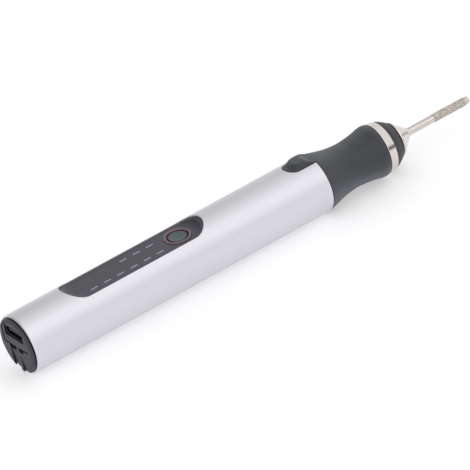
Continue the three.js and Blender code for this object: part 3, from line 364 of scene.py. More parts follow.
def make_piece(drawing, name, body, slot, *nodes, skin=None, look=None):
    """Turns a drawing into a finished object that rides on a body and stands for some CAD nodes."""
    bmesh.ops.remove_doubles(drawing, verts=drawing.verts, dist=1e-4)
    bmesh.ops.dissolve_degenerate(drawing, edges=drawing.edges, dist=1e-5)
    bmesh.ops.recalc_face_normals(drawing, faces=drawing.faces)
    open_edges = sum(1 for edge in drawing.edges if not edge.is_manifold)
    mesh = bpy.data.meshes.new(name)
    drawing.to_mesh(mesh)
    drawing.free()
    shade(mesh, skin)
    mesh.transform(to_frame)
    mesh.materials.append(finishes[look or slot])
    thing = bpy.data.objects.new(name, mesh)
    scene.collection.objects.link(thing)
    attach(thing, body)
    if nodes:
        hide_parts(*nodes)
    print(f"{name}: {len(mesh.polygons)} faces, {open_edges} open edges")


# %% [markdown]
# ## Turned pieces
# The nose, the button and the bit are turned: a profile is drawn as stations and radii, its corners are
# rounded, and it is spun round an axis. Poles close by themselves, because all the corners at radius zero
# are merged. A sharp machined corner still gets a small round, since it is what catches the light.

# %% Rounding and turning


def rounded(points, size, steps=4, closed=False):
    """Turns each inner corner of a line into an arc. A point may carry its own size as a third number."""
    count = len(points)
    result = []
    for i, point in enumerate(points):
        own = point[2] if len(point) > 2 else size
        corner = Vector(point[:2])
        if own == 0 or (not closed and i in (0, count - 1)):
            result.append(corner)
            continue
        back = Vector(points[i - 1][:2]) - corner
        ahead = Vector(points[(i + 1) % count][:2]) - corner
        start = corner + back.normalized() * min(own, back.length * 0.45)
        end = corner + ahead.normalized() * min(own, ahead.length * 0.45)
        for k in range(steps + 1):
            t = k / steps
            result.append(start * (1 - t) ** 2 + corner * 2 * t * (1 - t) + end * t ** 2)
    return result


def join_rows(drawing, rows, closed_rows=False, closed_line=False):
    """Faces between rows of points. Rows may close on the first one, and each row's line on its start."""
    made = [[drawing.verts.new(point) for point in row] for row in rows]
    last = len(made) if closed_rows else len(made) - 1
    for i in range(last):
        row, after = made[i], made[(i + 1) % len(made)]
        width = len(row) if closed_line else len(row) - 1
        for j in range(width):
            k = (j + 1) % len(row)
            drawing.faces.new((row[j], row[k], after[k], after[j]))


def cap_ends(drawing, rows):
    """Closes the first and the last row with a face each."""
    for row in (rows[0], rows[-1]):
        drawing.faces.new([drawing.verts.new(point) for point in row])


def turned(profile, sides, closed=False, upright_at=None):
    """A drawing of the profile spun round the pen's axis, or round an upright line at that station."""
    drawing = bmesh.new()
    rows = []
    for i in range(sides):
        turn = 2 * math.pi * i / sides
        c, s = math.cos(turn), math.sin(turn)
        if upright_at is None:
            rows.append([Vector((x, r * c, r * s)) for x, r in profile])
        else:
            rows.append([Vector((upright_at + r * c, r * s, z)) for z, r in profile])
    join_rows(drawing, rows, closed_rows=True, closed_line=closed)
    return drawing


# %% [markdown]
# ## Sheets with rolled edges
# The tube, the grip, the panel and the cap are sheets with openings. Each is drawn flat: an outline and its
# holes are filled with triangles on an even grid, and each edge is a little wall that rolls over from the
# sheet. Booleans would cut the openings too, but they leave long slivers and no round edge.

# %% Flat fills and rolled edges


def inside(points, loop):
    """Which of the points lie inside a closed loop."""
    p = np.asarray(points, float)
    a = np.asarray(loop, float)
    b = np.roll(a, -1, axis=0)
    hit = np.zeros(len(p), bool)
    for (ax, ay), (bx, by) in zip(a, b):
        if ay == by:
            continue
        crosses = (ay > p[:, 1]) != (by > p[:, 1])
        hit ^= crosses & (p[:, 0] < (bx - ax) * (p[:, 1] - ay) / (by - ay) + ax)
    return hit


def fill(drawing, outline, holes, spacing, place):
    """Fills a flat outline with triangles on a grid and puts each of its points where `place` says."""
    loops = [[tuple(p[:2]) for p in loop] for loop in (outline, *holes)]
    low, high = np.min(loops[0], axis=0), np.max(loops[0], axis=0)
    counts = [max(1, round((high[k] - low[k]) / spacing[k])) for k in (0, 1)]
    lines = [np.linspace(low[k], high[k], counts[k] + 1)[1:-1] for k in (0, 1)]
    grid = np.array([(u, v) for u in lines[0] for v in lines[1]]).reshape(-1, 2)
    keep = inside(grid, loops[0])
    for loop in loops[1:]:
        keep &= ~inside(grid, loop)
    grid = grid[keep]
    edge = np.array([p for loop in loops for p in loop])
    clear = 0.45 * np.array(spacing)
    near = np.zeros(len(grid), bool)
    batch = 500
    for start in range(0, len(grid), batch):
        off = np.abs(grid[start:start + batch, None, :] - edge[None, :, :]) / clear
        near[start:start + batch] = (np.hypot(off[..., 0], off[..., 1]) < 1).any(axis=1)
    points, edges = [], []
    for loop in loops:
        first = len(points)
        points.extend(Vector(p) for p in loop)
        edges.extend((first + i, first + (i + 1) % len(loop)) for i in range(len(loop)))
    points.extend(Vector(p) for p in grid[~near])
    found, _, faces, *_ = delaunay_2d_cdt(points, edges, [], 0, 1e-6)
    flat = np.array([tuple(p) for p in found])
    centres = np.array([flat[list(face)].mean(axis=0) for face in faces])
    wanted = inside(centres, loops[0])
    for loop in loops[1:]:
        wanted &= ~inside(centres, loop)
    corners = [drawing.verts.new(place(*p)) for p in flat]
    for face, yes in zip(faces, wanted):
        if yes:
            drawing.faces.new([corners[i] for i in face])


def moved(path, distance, closed):
    """A flat path moved sideways, to the right of its own direction."""
    count = len(path)
    result = []
    for i, point in enumerate(path):
        here = Vector(point[:2])
        before = Vector(path[i - 1][:2]) if closed or i > 0 else None
        after = Vector(path[(i + 1) % count][:2]) if closed or i < count - 1 else None
        normals = []
        for a, b in ((before, here), (here, after)):
            if a is not None and b is not None and (b - a).length > 1e-9:
                along = (b - a).normalized()
                normals.append(Vector((along.y, -along.x)))
        normal = sum(normals, Vector((0, 0))).normalized()
        stretch = 1 / max(0.35, normal.dot(normals[0]))
        result.append(here + normal * distance * stretch)
    return result


def rolled_edge(path, size, closed, hole=False, steps=4):
    """Rows of (flat path, drop) from the sheet's own edge, over a quarter round, down to a vertical wall."""
    side = -1 if hole else 1
    rows = []
    for k in range(steps + 1):
        turn = k / steps * math.pi / 2
        offset = -side * size * (1 - math.sin(turn))
        rows.append((moved(path, offset, closed) if offset else [Vector(p[:2]) for p in path],
                     size * (1 - math.cos(turn))))
    return rows


def at_height(path, height):
    """A flat path laid level at a height."""
    return [Vector((p[0], p[1], height)) for p in path]


def stadium(x0, x1, half, steps=24):
    """A long hole with round ends, going round to the left."""
    points = []
    for centre, start in ((x1 - half, -math.pi / 2), (x0 + half, math.pi / 2)):
        for k in range(steps + 1):
            turn = start + math.pi * k / steps
            points.append(Vector((centre + half * math.cos(turn), half * math.sin(turn))))
    return points


def divided(path, spacing, closed=False):
    """The same path with more points, so that no step is longer than the spacing."""
    result = []
    count = len(path)
    for i in range(count if closed else count - 1):
        a, b = Vector(path[i]), Vector(path[(i + 1) % count])
        parts = max(1, math.ceil((b - a).length / spacing - 1e-6))
        result.extend(a.lerp(b, k / parts) for k in range(parts))
    if not closed:
        result.append(Vector(path[-1]))
    return result


# %% [markdown]
# ## Wrapping a sheet round the pen
# A Geometry Nodes tree rolls a flat drawing into a tube: the drawing's second axis becomes the way round at
# the tube's radius, and its height becomes distance from that radius. The rule is one line of trigonometry,
# and as a tree it serves the tube and the grip alike. All the trees of this lesson start with the same inputs
# and end in the same two nodes, Realize Instances and Set Material.

# %% Growing trees and the wrapping tree


def growing_tree(name, **kinds):
    """A tree that takes a drawing, named values and a finish, and gives a drawing."""
    tree = bpy.data.node_groups.new(name, "GeometryNodeTree")
    for label, kind in {"Geometry": "Geometry", **kinds, "Finish": "Material"}.items():
        tree.interface.new_socket(label, in_out="INPUT", socket_type="NodeSocket" + kind)
    tree.interface.new_socket("Geometry", in_out="OUTPUT", socket_type="NodeSocketGeometry")
    return tree, add(tree, "NodeGroupInput").outputs


def end_tree(tree, given, geometry):
    real = add(tree, "GeometryNodeRealizeInstances", {"Geometry": geometry}).outputs["Geometry"]
    coat = add(tree, "GeometryNodeSetMaterial", {"Geometry": real, "Material": given["Finish"]})
    add(tree, "NodeGroupOutput", {"Geometry": coat.outputs["Geometry"]})
    return tree


def wrapping_tree():
    tree, given = growing_tree("wrap_round", Radius="Float", Merge="Float")

    def maths(operation, *values):
        return add(tree, "ShaderNodeMath", dict(enumerate(values)), operation=operation).outputs["Value"]

    where = add(tree, "GeometryNodeInputPosition").outputs["Position"]
    flat = add(tree, "ShaderNodeSeparateXYZ", {"Vector": where}).outputs
    angle = maths("DIVIDE", flat["Y"], given["Radius"])
    radius = maths("ADD", flat["Z"], given["Radius"])
    place = add(tree, "ShaderNodeCombineXYZ", {
        "X": flat["X"], "Y": maths("MULTIPLY", radius, maths("SINE", angle)),
        "Z": maths("MULTIPLY", radius, maths("COSINE", angle))}).outputs["Vector"]
    move = add(tree, "GeometryNodeSetPosition", {"Geometry": given["Geometry"], "Position": place})
    merge = add(tree, "GeometryNodeMergeByDistance", {
        "Geometry": move.outputs["Geometry"], "Distance": given["Merge"]})
    return end_tree(tree, given, merge.outputs["Geometry"])


def grown(tree, source, slot, **values):
    """Runs a tree on a drawing, with a finish, and returns what it makes as a new drawing."""
    mesh = bpy.data.meshes.new("drawing")
    source.to_mesh(mesh)
    source.free()
    thing = bpy.data.objects.new("drawing", mesh)
    scene.collection.objects.link(thing)
    modifier = thing.modifiers.new("tree", "NODES")
    modifier.node_group = tree
    values["Finish"] = finishes[slot]
    for item in tree.interface.items_tree:
        if item.in_out == "INPUT" and item.name in values:
            modifier[item.identifier] = values[item.name]
    ready = thing.evaluated_get(bpy.context.evaluated_depsgraph_get())
    plain = bpy.data.meshes.new_from_object(ready)
    result = bmesh.new()
    result.from_mesh(plain)
    bpy.data.objects.remove(thing)
    bpy.data.meshes.remove(plain)
    bpy.data.meshes.remove(mesh)
    return result


wrap = wrapping_tree()

# %% [markdown]
# ## The body tube
# An aluminium tube, blasted and anodised, with a millimetre of wall. A long slot holds the control panel and
# a notch in the front rim takes the grip's tongue. It is one flat sheet, outer skin and inner skin, whose
# rims, slot and notch have rolled edges, and the tree wraps it. The slot's walls stand upright, as a milling
# cutter leaves them, so a point's way round is worked out again for each depth.

# %% The body tube
wall = 1.0
half_round = math.pi * TUBE_RADIUS
panel_low, panel_high = drawn_box("control_panel")
panel_gap = 0.1
grip_low, grip_high = drawn_box("grip_sleeve")
notch_gap = 0.1
notch_half = 3.3
notch_start = grip_low.x - notch_gap
notch_fade = (3.5, 6)
skin_step = (1.6, 2 * half_round / 112)


def way_round(y, depth):
    """How far round the sheet lies a point at y on a wall that stands upright."""
    return TUBE_RADIUS * math.asin(max(-1, min(1, y / (TUBE_RADIUS - depth))))


def notch_path(x_front, start, half, half_total, spacing):
    """The front rim from the seam to the notch, round the notch and on to the seam, in steps."""
    bend = start + half
    bow = [Vector((bend - half * math.sin(t), -half * math.cos(t))) for t in np.linspace(0, math.pi, 33)]
    bow = [Vector((p.x, way_round(p.y, 0))) for p in bow]
    corner = way_round(half, 0)
    points = [(x_front, -half_total), (x_front, -corner), *bow, (x_front, corner), (x_front, half_total)]
    return divided(points, spacing)


def near_notch(s):
    """1 at the notch's walls, falling to 0 along the front rim beside them."""
    return min(1, max(0, (notch_fade[1] - abs(s)) / (notch_fade[1] - notch_fade[0])))


def tube_row(path, drop, upright):
    """A path of the flat sheet at some depth. A wall that is wholly upright (1) keeps its distance from the
    pen's middle, and one that points at the axis (0) keeps its angle."""
    row = []
    for x, s in path:
        standing = way_round(TUBE_RADIUS * math.sin(s / TUBE_RADIUS), drop) if upright(s) else s
        row.append(Vector((x, s + upright(s) * (standing - s), -drop)))
    return row


def seamed_outline(rear, front, steps):
    """The outline of a sheet between two rims, with its two seams divided into steps."""
    stations = np.linspace(rear[-1].x, front[0].x, steps + 1)[1:-1]
    right = [(x, -half_round) for x in stations]
    left = [(x, half_round) for x in stations[::-1]]
    return [*rear, *right, *front, *left]


def body_tube():
    drawing = bmesh.new()
    rear_path = divided([(0, half_round), (0, -half_round)], skin_step[1])
    front_path = notch_path(TUBE_LENGTH, notch_start, notch_half, half_round, 0.45)
    slot_plan = divided(stadium(panel_low.x - panel_gap, panel_high.x + panel_gap, panel_high.y + panel_gap),
                        0.6, closed=True)
    slot_path = [Vector((p.x, way_round(p.y, 0))) for p in slot_plan]
    edges = []
    for path, size, closed, hole, upright in (
            (rear_path, 0.4, False, False, lambda s: 0), (front_path, 0.22, False, False, near_notch),
            (slot_path, 0.18, True, True, lambda s: 1)):
        rows = rolled_edge(path, size, closed, hole)
        rows.append((rows[-1][0], wall))
        flat_rows = [tube_row(line, drop, upright) for line, drop in rows]
        join_rows(drawing, flat_rows, closed_line=closed)
        edges.append((flat_rows[0], flat_rows[-1]))
    for which, height, spacing in ((0, 0, skin_step), (1, -wall, (4, skin_step[1] * 2))):
        rear, front, slot = (edge[which] for edge in edges)
        fill(drawing, seamed_outline(rear, front, 64), [slot], spacing, lambda x, s: Vector((x, s, height)))
    return grown(wrap, drawing, "satin_metal", Radius=TUBE_RADIUS, Merge=1e-3)


def tube_skin(point):
    """On the outer skin the normal points straight out from the axis."""
    out = Vector((0, point.y, point.z))
    return out.normalized() if abs(out.length - TUBE_RADIUS) < 2e-3 else None


make_piece(body_tube(), "satin_tube", "casing", "satin_metal", "body_tube", skin=tube_skin)

# %% [markdown]
# ## The grip
# A soft sleeve pushed over the front core. Its outline swings in to a waist for the fingers and out to a
# shoulder. At the top a tongue fills the tube's notch: it swells out of the round to a flat top whose far
# side is squarer than its near side, and falls to the sleeve ahead of a bowed ridge. The whole skin is one
# sheet whose height follows that rule. Near the tongue's outline its rows lie close, so that the steep sides
# come out clean.

# %% The grip


def through(table):
    """A smooth line through the table's points, as a function."""
    xs = [x for x, _ in table]
    ys = [y for _, y in table]
    slopes = []
    for i in range(len(xs)):
        a, b = max(0, i - 1), min(len(xs) - 1, i + 1)
        slopes.append((ys[b] - ys[a]) / (xs[b] - xs[a]))

    def value(x):
        x = min(max(x, xs[0]), xs[-1])
        i = min(len(xs) - 2, max(k for k in range(len(xs)) if xs[k] <= x))
        width = xs[i + 1] - xs[i]
        t = (x - xs[i]) / width
        return (ys[i] * (1 + 2 * t) * (1 - t) ** 2 + slopes[i] * width * t * (1 - t) ** 2
                + ys[i + 1] * t ** 2 * (3 - 2 * t) + slopes[i + 1] * width * t ** 2 * (t - 1))
    return value


grip_outline = through([
    (102, 8.95), (103.3, 8.93), (104.2, 8.74), (105.5, 8.4), (107.6, 7.86), (109.7, 7.4), (111.8, 7.1),
    (114, 6.93), (115.2, 6.91), (117.1, 7.05), (119.2, 7.27), (121.3, 7.6), (122.3, 7.85), (123.2, 8.02),
    (124.1, 8.06), (124.75, 8.0)])
rise_length = 2.9
tongue_rise = through([(0, 0), (0.4, 0.2), (0.6, 0.48), (0.83, 0.86), (1.1, 1)])
tongue_fall = through([
    (99.3, 1), (100.1, 0.96), (100.8, 0.72), (101.4, 0.38), (102.2, 0.12), (103, 0.02), (103.9, 0)])
fall_bow = 1.8
top_squareness = (2.3, 3.6)
rear_face = TUBE_LENGTH + 0.1
tongue_half = notch_half - notch_gap
tongue_top = grip_high.z - 0.01
tongue_turn = 0.4
tongue_end = 106
rim_round = 0.12
tongue_under = 7.25 - TUBE_RADIUS
sleeve_under = 5.86 - TUBE_RADIUS
under_step = 0.9


def skin_height(x, y):
    """Height of the grip's skin over the pen's axis at a point seen from above."""
    radius = grip_outline(x)
    round_height = math.sqrt(radius ** 2 - y ** 2)
    off = abs(y) / tongue_half
    if off >= 1:
        return round_height
    edge = math.sqrt(radius ** 2 - tongue_half ** 2)
    power = top_squareness[0] if y < 0 else top_squareness[1]
    flat = edge + (tongue_top - edge) * (1 - off ** power) ** (1 / power)
    outline = grip_low.x + tongue_half * (1 - math.sqrt(1 - off ** 2))
    share = tongue_rise((x - outline) / rise_length) * tongue_fall(x - fall_bow * off ** 4)
    return round_height + (flat - round_height) * share


def grip_height(x, s):
    """Height of the grip's skin over the tube's radius at a place of the flat sheet."""
    turn = s / TUBE_RADIUS
    low = grip_outline(x)
    if abs(turn) > tongue_turn or x > tongue_end:
        return low - TUBE_RADIUS
    high = min(grip_high.z / math.cos(turn), max(low, tongue_half / max(1e-6, math.sin(abs(turn)))))
    for _ in range(30):
        middle = (low + high) / 2
        if middle * math.cos(turn) < skin_height(x, middle * math.sin(turn)):
            low = middle
        else:
            high = middle
    return low - TUBE_RADIUS


def grip():
    drawing = bmesh.new()
    rim_path = notch_path(rear_face, grip_low.x, tongue_half, half_round, 0.4)[::-1]
    rim_rows = []
    for inset in (0.85, 0.68, 0.54, 0.43, 0.35, 0.3, 0.25, 0.2, 0.15, 0.11, 0.07, 0.035, 0.012, 0):
        drop = rim_round - math.sqrt(rim_round ** 2 - max(0, rim_round - inset) ** 2)
        line = moved(rim_path, -inset, False)
        rim_rows.append([Vector((p.x, p.y, grip_height(p.x, p.y) - drop)) for p in line])
    rim_rows.append(at_height(rim_rows[-1], tongue_under))
    join_rows(drawing, rim_rows)
    front_path = divided([(grip_high.x, -half_round), (grip_high.x, half_round)], 0.5)
    roll = rolled_edge(front_path, 0.3, False)
    front_top = grip_height(roll[0][0][0].x, half_round)
    front_rows = [at_height(line, front_top - drop) for line, drop in roll]
    front_rows.append(at_height(front_path, sleeve_under))
    join_rows(drawing, front_rows)

    def under(x, s):
        share = min(1, max(0, (x - rear_face) / under_step))
        return Vector((x, s, tongue_under + (sleeve_under - tongue_under) * share))

    fill(drawing, seamed_outline(rim_rows[0], front_rows[0], 44), [], (0.4, 2 * half_round / 140),
         lambda x, s: Vector((x, s, grip_height(x, s))))
    fill(drawing, seamed_outline(rim_rows[-1], front_rows[-1], 44), [], (0.9, 2 * half_round / 56), under)
    return grown(wrap, drawing, "soft_grip", Radius=TUBE_RADIUS, Merge=1e-3)


make_piece(grip(), "soft_sleeve", "casing", "soft_grip", "grip_sleeve")

# %% [markdown]
# ## The trim ring and the nose cap
# The ring is turned from brass and polished, with a slight taper. The cap behind the cone is moulded: its
# side falls in a round curve to a thin front lip. Both are closed profiles, spun.

# %% Ring and cap
ring_low, ring_high = drawn_box("trim_ring")
ring_rear, ring_front = ring_high.z - 0.01, ring_high.z - 0.33
bore = 5.85
ring_profile = rounded([
    (ring_low.x, bore), (ring_low.x, ring_rear), (ring_high.x, ring_front), (ring_high.x, bore)],
    0.16, steps=5, closed=True)
make_piece(turned(ring_profile, 128, closed=True), "polished_ring", "casing", "polished_metal", "trim_ring")

cap_low, cap_high = drawn_box("nose_cap")
nose_lip = cap_high.x - 0.12
nose_lip_radius = 5.72
nose_bore = 2.88
cap_line = through([(cap_low.x, 7.55), (128.5, 7.3), (129.3, 6.87), (130.2, 6.33), (131.1, nose_lip_radius)])
cap_side = [(x, cap_line(x), 0) for x in np.linspace(cap_low.x + 0.25, cap_high.x - 0.35, 14)]
cap_profile = rounded([
    (cap_low.x, bore), (cap_low.x, cap_line(cap_low.x) - 0.01), *cap_side,
    (nose_lip, nose_lip_radius, 0.1), (nose_lip, 5.2, 0.08), (cap_high.x, 5.1, 0.05),
    (cap_high.x, nose_bore, 0.1), (cap_high.x - 0.6, nose_bore)], 0.14, steps=4, closed=True)
make_piece(turned(cap_profile, 128, closed=True), "nose_cap_shell", "casing", "dark_plastic", "nose_cap")

# %% [markdown]
# ## The collet nut and the collet
# The nut is a polished cone that screws on the spindle. The collet's split jaws look out of its mouth and
# grip the bit. They are four sectors of one turned profile, with a slit between them, on a plain ring.

# %% Nut and collet
nut_low, nut_high = drawn_box("collet_nut")
nut_rim = nut_high.z - 0.02
nut_profile = rounded([
    (nut_low.x, 2.62, 0.05), (nut_low.x, nut_rim, 0.16), (nut_low.x + 0.45, nut_rim, 0.12),
    (nut_high.x, 1.98, 0.08), (nut_high.x, 1.8, 0.04), (nut_high.x - 1.6, 2.5, 0.05)],
    0.1, steps=5, closed=True)
make_piece(turned(nut_profile, 128, closed=True), "collet_cone", "collet_nut", "polished_metal", "collet_nut")

collet_low, collet_high = drawn_box("collet")
jaw_bore = 1.24
jaw_stem = 1.88
jaw_head = 2.36
jaw_start, jaw_shoulder, jaw_rim = (collet_low.x + along for along in (0.5, 8, 8.6))
slit_half = 0.1


def collet_jaws():
    profile = rounded([
        (jaw_start, jaw_stem, 0), (jaw_shoulder, jaw_stem, 0), (jaw_shoulder, jaw_head, 0.1),
        (jaw_rim, jaw_head, 0.1), (nut_high.x, 1.76, 0.1), (collet_high.x, 1.34, 0.06),
        (collet_high.x, jaw_bore, 0.02), (jaw_start, jaw_bore, 0)], 0.1, steps=3, closed=True)
    drawing = turned(rounded([
        (collet_low.x, jaw_stem), (jaw_start, jaw_stem), (jaw_start, jaw_bore), (collet_low.x, jaw_bore)],
        0.06, closed=True), 48, closed=True)
    for quarter in range(4):
        rows = []
        for share in np.linspace(0, 1, 13):
            row = []
            for x, r in profile:
                gap = math.asin(slit_half / r)
                turn = quarter * math.pi / 2 + gap + share * (math.pi / 2 - 2 * gap)
                row.append(Vector((x, r * math.cos(turn), r * math.sin(turn))))
            rows.append(row)
        join_rows(drawing, rows, closed_line=True)
        cap_ends(drawing, rows)
    bmesh.ops.triangulate(drawing, faces=[f for f in drawing.faces if len(f.verts) > 4])
    return drawing


make_piece(collet_jaws(), "collet_jaws", "collet", "steel", "collet", look="polished_metal")

# %% [markdown]
# ## The bit
# A ground steel shank and a head of diamond grit held in nickel. The head is a slightly uneven core with
# grains scattered over it. Scattering is a rule that follows a surface, so a tree does it: it spreads points
# over the core with a fixed seed and puts a small faceted grain on each, turned and sized at random.

# %% The shank and the core
shank_low, shank_high = drawn_box("bit_shank")
head_low, head_high = drawn_box("bit_head")
shank_radius = shank_high.z - 0.002
core_radius = head_high.z - 0.07
shank_profile = rounded([
    (shank_low.x, 0), (shank_low.x, shank_radius, 0.25), (head_low.x - 0.2, shank_radius, 0.1),
    (head_low.x - 0.02, core_radius - 0.15, 0.05), (head_high.x + 0.02, core_radius - 0.15, 0.05),
    (head_high.x + 0.1, shank_radius, 0.05), (shank_high.x, shank_radius - 0.04, 0.3), (shank_high.x, 0)],
    0.1, steps=5)
make_piece(turned(shank_profile, 64), "bit_steel", "bit", "tool_steel", "bit_shank")


def grain_tree():
    tree, given = growing_tree("grit_on_core", Density="Float", Grain="Float", Seed="Int")
    spread = add(tree, "GeometryNodeDistributePointsOnFaces", {
        "Mesh": given["Geometry"], "Density": given["Density"], "Seed": given["Seed"]})
    grain = add(tree, "GeometryNodeMeshIcoSphere", {"Radius": given["Grain"], "Subdivisions": 1})
    size, turn = (add(tree, "FunctionNodeRandomValue", {"Seed": given["Seed"], 0: low, 1: high},
                      data_type="FLOAT_VECTOR").outputs[0]
                  for low, high in (((0.6, 0.6, 0.5), (1.25, 1.25, 1.0)), ((0, 0, 0), (6.28, 6.28, 6.28))))
    put = add(tree, "GeometryNodeInstanceOnPoints", {
        "Points": spread.outputs["Points"], "Instance": grain.outputs["Mesh"],
        "Scale": size, "Rotation": turn})
    join = add(tree, "GeometryNodeJoinGeometry", {"Geometry": given["Geometry"]})
    wire(join, {"Geometry": put.outputs["Instances"]})
    return end_tree(tree, given, join.outputs["Geometry"])


core_bore = core_radius - 0.2
core_profile = rounded([
    (head_low.x, core_bore), (head_low.x, core_radius), (head_high.x, core_radius), (head_high.x, core_bore)],
    0.12, closed=True)
core = turned(core_profile, 48, closed=True)
grit = grown(grain_tree(), core, "grit_metal", Density=14.0, Grain=0.13, Seed=7)
reach_of_grit = head_high.z - 0.002
for vert in grit.verts:
    vert.co.x = min(max(vert.co.x, head_low.x), head_high.x)
    out = math.hypot(vert.co.y, vert.co.z)
    if out > reach_of_grit:
        vert.co.y *= reach_of_grit / out
        vert.co.z *= reach_of_grit / out
make_piece(grit, "bit_grit", "bit", "grit_metal", "bit_head")

# %% [markdown]
# ## The control panel
# A dark moulded tray sunk in the slot. Its floor is flat out to the slot's sides, with nine small windows and
# a round hole for the button, and at each round end it scoops up towards the tube's skin. The rows near the
# outline lie close, where the scoop is steep, and the rest is a flat fill that follows the same rule.

# %% The control panel
panel_rim = 0.5
scoop_reach = 3.4
scoop_sink = 0.6
scoop_lip = 0.1
ring_box_low, ring_box_high = drawn_box("button_ring")
button_low, button_high = drawn_box("power_button")
level_high = drawn_box("level_light_guide")[1]
speed_low, speed_high = drawn_box("speed_light_guide")
panel_floor = level_high.z
panel_under = panel_floor - 0.7
button_x = (button_low.x + button_high.x) / 2
bead_radius = 4.08
bead_gap = 0.05
window_pitch = 4.54
window_size = (2.4, 0.52)
window_gap = 0.05
window_start = level_high.x - 0.1 - window_size[0] / 2
window_side = (speed_low.y + speed_high.y) / 2
light_rows = {"level": (-window_side, 6), "speed": (window_side, 3)}


def tray_height(x, y):
    """Height of the tray over the pen's axis: flat, and scooped up at the round ends."""
    half = panel_high.y
    centre = min(max(x, panel_low.x + half), panel_high.x - half)
    out = math.hypot(x - centre, y)
    across = half * y / out if out else 0
    rim = max(panel_floor, math.sqrt(TUBE_RADIUS ** 2 - across ** 2) - scoop_sink)
    share = min(1, max(0, half - out - scoop_lip) / scoop_reach)
    return panel_floor + (rim - panel_floor) * (1 - math.sqrt(share * (2 - share)))


def box_path(x, y, length, width, corner, steps=3):
    """A rectangle with round corners, going round to the left."""
    points = []
    for quarter, (sx, sy) in enumerate(((1, -1), (1, 1), (-1, 1), (-1, -1))):
        cx, cy = x + sx * (length / 2 - corner), y + sy * (width / 2 - corner)
        for k in range(steps + 1):
            turn = (quarter - 1 + k / steps) * math.pi / 2
            points.append(Vector((cx + corner * math.cos(turn), cy + corner * math.sin(turn))))
    return points


def circle(x, y, radius, steps=64):
    turns = [2 * math.pi * k / steps for k in range(steps)]
    return [Vector((x + radius * math.cos(t), y + radius * math.sin(t))) for t in turns]


def on_tray(path, drop=0):
    """A path seen from above, laid on the tray or a little under its skin."""
    return [Vector((p[0], p[1], tray_height(p[0], p[1]) - drop)) for p in path]


def control_panel():
    drawing = bmesh.new()
    outer = divided(stadium(panel_low.x, panel_high.x, panel_high.y), 0.7, closed=True)
    insets = (0.04, 0.1, 0.13, 0.18, 0.26, 0.38, 0.55, 0.8, 1.1, 1.4)
    rows = [at_height(outer, panel_low.z), on_tray(outer, 0.05)]
    rows += [on_tray(moved(outer, -inset, True)) for inset in insets]
    join_rows(drawing, rows, closed_line=True)
    inner_wall = moved(outer, -panel_rim, True)
    under = [at_height(line, z) for line, z in (
        (outer, panel_low.z), (inner_wall, panel_low.z), (inner_wall, panel_under))]
    join_rows(drawing, under, closed_line=True)
    holes = [circle(button_x, 0, bead_radius + bead_gap)]
    hole_size = [side + 2 * window_gap for side in window_size]
    for side, count in light_rows.values():
        holes += [box_path(window_start - i * window_pitch, side, *hole_size, 0.1) for i in range(count)]
    top_holes = []
    for hole in holes:
        walls = [on_tray(line, drop) for line, drop in rolled_edge(hole, 0.05, True, hole=True, steps=2)]
        walls.append(at_height(hole, panel_under))
        join_rows(drawing, walls, closed_line=True)
        top_holes.append(walls[0])
    fill(drawing, rows[-1], top_holes, (0.6, 0.4), lambda x, y: Vector((x, y, tray_height(x, y))))
    fill(drawing, inner_wall, holes, (2.4, 1.6), lambda x, y: Vector((x, y, panel_under)))
    return drawing


make_piece(control_panel(), "panel_tray", "casing", "panel_plastic", "control_panel")

# %% [markdown]
# ## The light windows
# Each row of windows is one moulded light guide: a rail with a pillar in every window. The pillars repeat,
# so a tree sets them along a line with a count and a pitch, and the same tree makes both rows.

# %% The light guides


def row_tree():
    tree, given = growing_tree("row_of_pillars", Count="Int", Start="Vector", Step="Vector")
    line = add(tree, "GeometryNodeMeshLine", {
        "Count": given["Count"], "Start Location": given["Start"], "Offset": given["Step"]})
    put = add(tree, "GeometryNodeInstanceOnPoints", {
        "Points": line.outputs["Mesh"], "Instance": given["Geometry"]})
    return end_tree(tree, given, put.outputs["Instances"])


def block(x, y, length, width, low, high, corner, lip=0.04):
    """A small upright block with round corners and a rolled top and bottom edge."""
    drawing = bmesh.new()
    roll = rolled_edge(box_path(x, y, length, width, corner), lip, True, steps=2)
    rows = [at_height(line, high - drop) for line, drop in roll]
    rows += [at_height(line, low + drop) for line, drop in roll[::-1]]
    join_rows(drawing, rows, closed_line=True)
    cap_ends(drawing, rows)
    return drawing


def take_in(drawing, other):
    """Adds another drawing to a drawing."""
    mesh = bpy.data.meshes.new("other")
    other.to_mesh(mesh)
    other.free()
    drawing.from_mesh(mesh)
    bpy.data.meshes.remove(mesh)


pillars = row_tree()
for name, (side, count) in light_rows.items():
    low, high = drawn_box(f"{name}_light_guide")
    pillar = block(0, 0, *window_size, panel_under - 0.2, panel_floor - 0.01, 0.08)
    row = grown(pillars, pillar, "milky_clear", Count=count, Start=(window_start, side, 0),
                Step=(-window_pitch, 0, 0))
    rail = block((low.x + high.x) / 2, side, high.x - low.x, high.y - low.y, low.z, panel_under - 0.1, 0.15)
    take_in(row, rail)
    make_piece(row, f"{name}_windows", "casing", "milky_clear", f"{name}_light_guide")

# %% [markdown]
# ## The button and its ring
# A clear red ring with a rounded crown lights up round the button, and the button's face is dished for the
# fingertip. Both are turned round an upright line.

# %% Button and ring
ring_foot, ring_crown = ring_box_low.z, ring_box_high.z
flange_radius = 4.88
flange_top = ring_foot + 0.25
ledge = panel_floor - 0.3
ledge_radius = 2.97
bead_bore = (3.38, 3.36)
ring_profile = rounded([
    (ring_foot, ledge_radius), (ring_foot, flange_radius), (flange_top, flange_radius),
    (flange_top, bead_radius), (ring_crown, bead_radius, 0.3), (ring_crown, bead_bore[0], 0.3),
    (ledge, bead_bore[1]), (ledge, ledge_radius)], 0.06, steps=5, closed=True)
ring = turned(ring_profile, 96, closed=True, upright_at=button_x)
make_piece(ring, "button_bead", "casing", "red_clear", "button_ring")

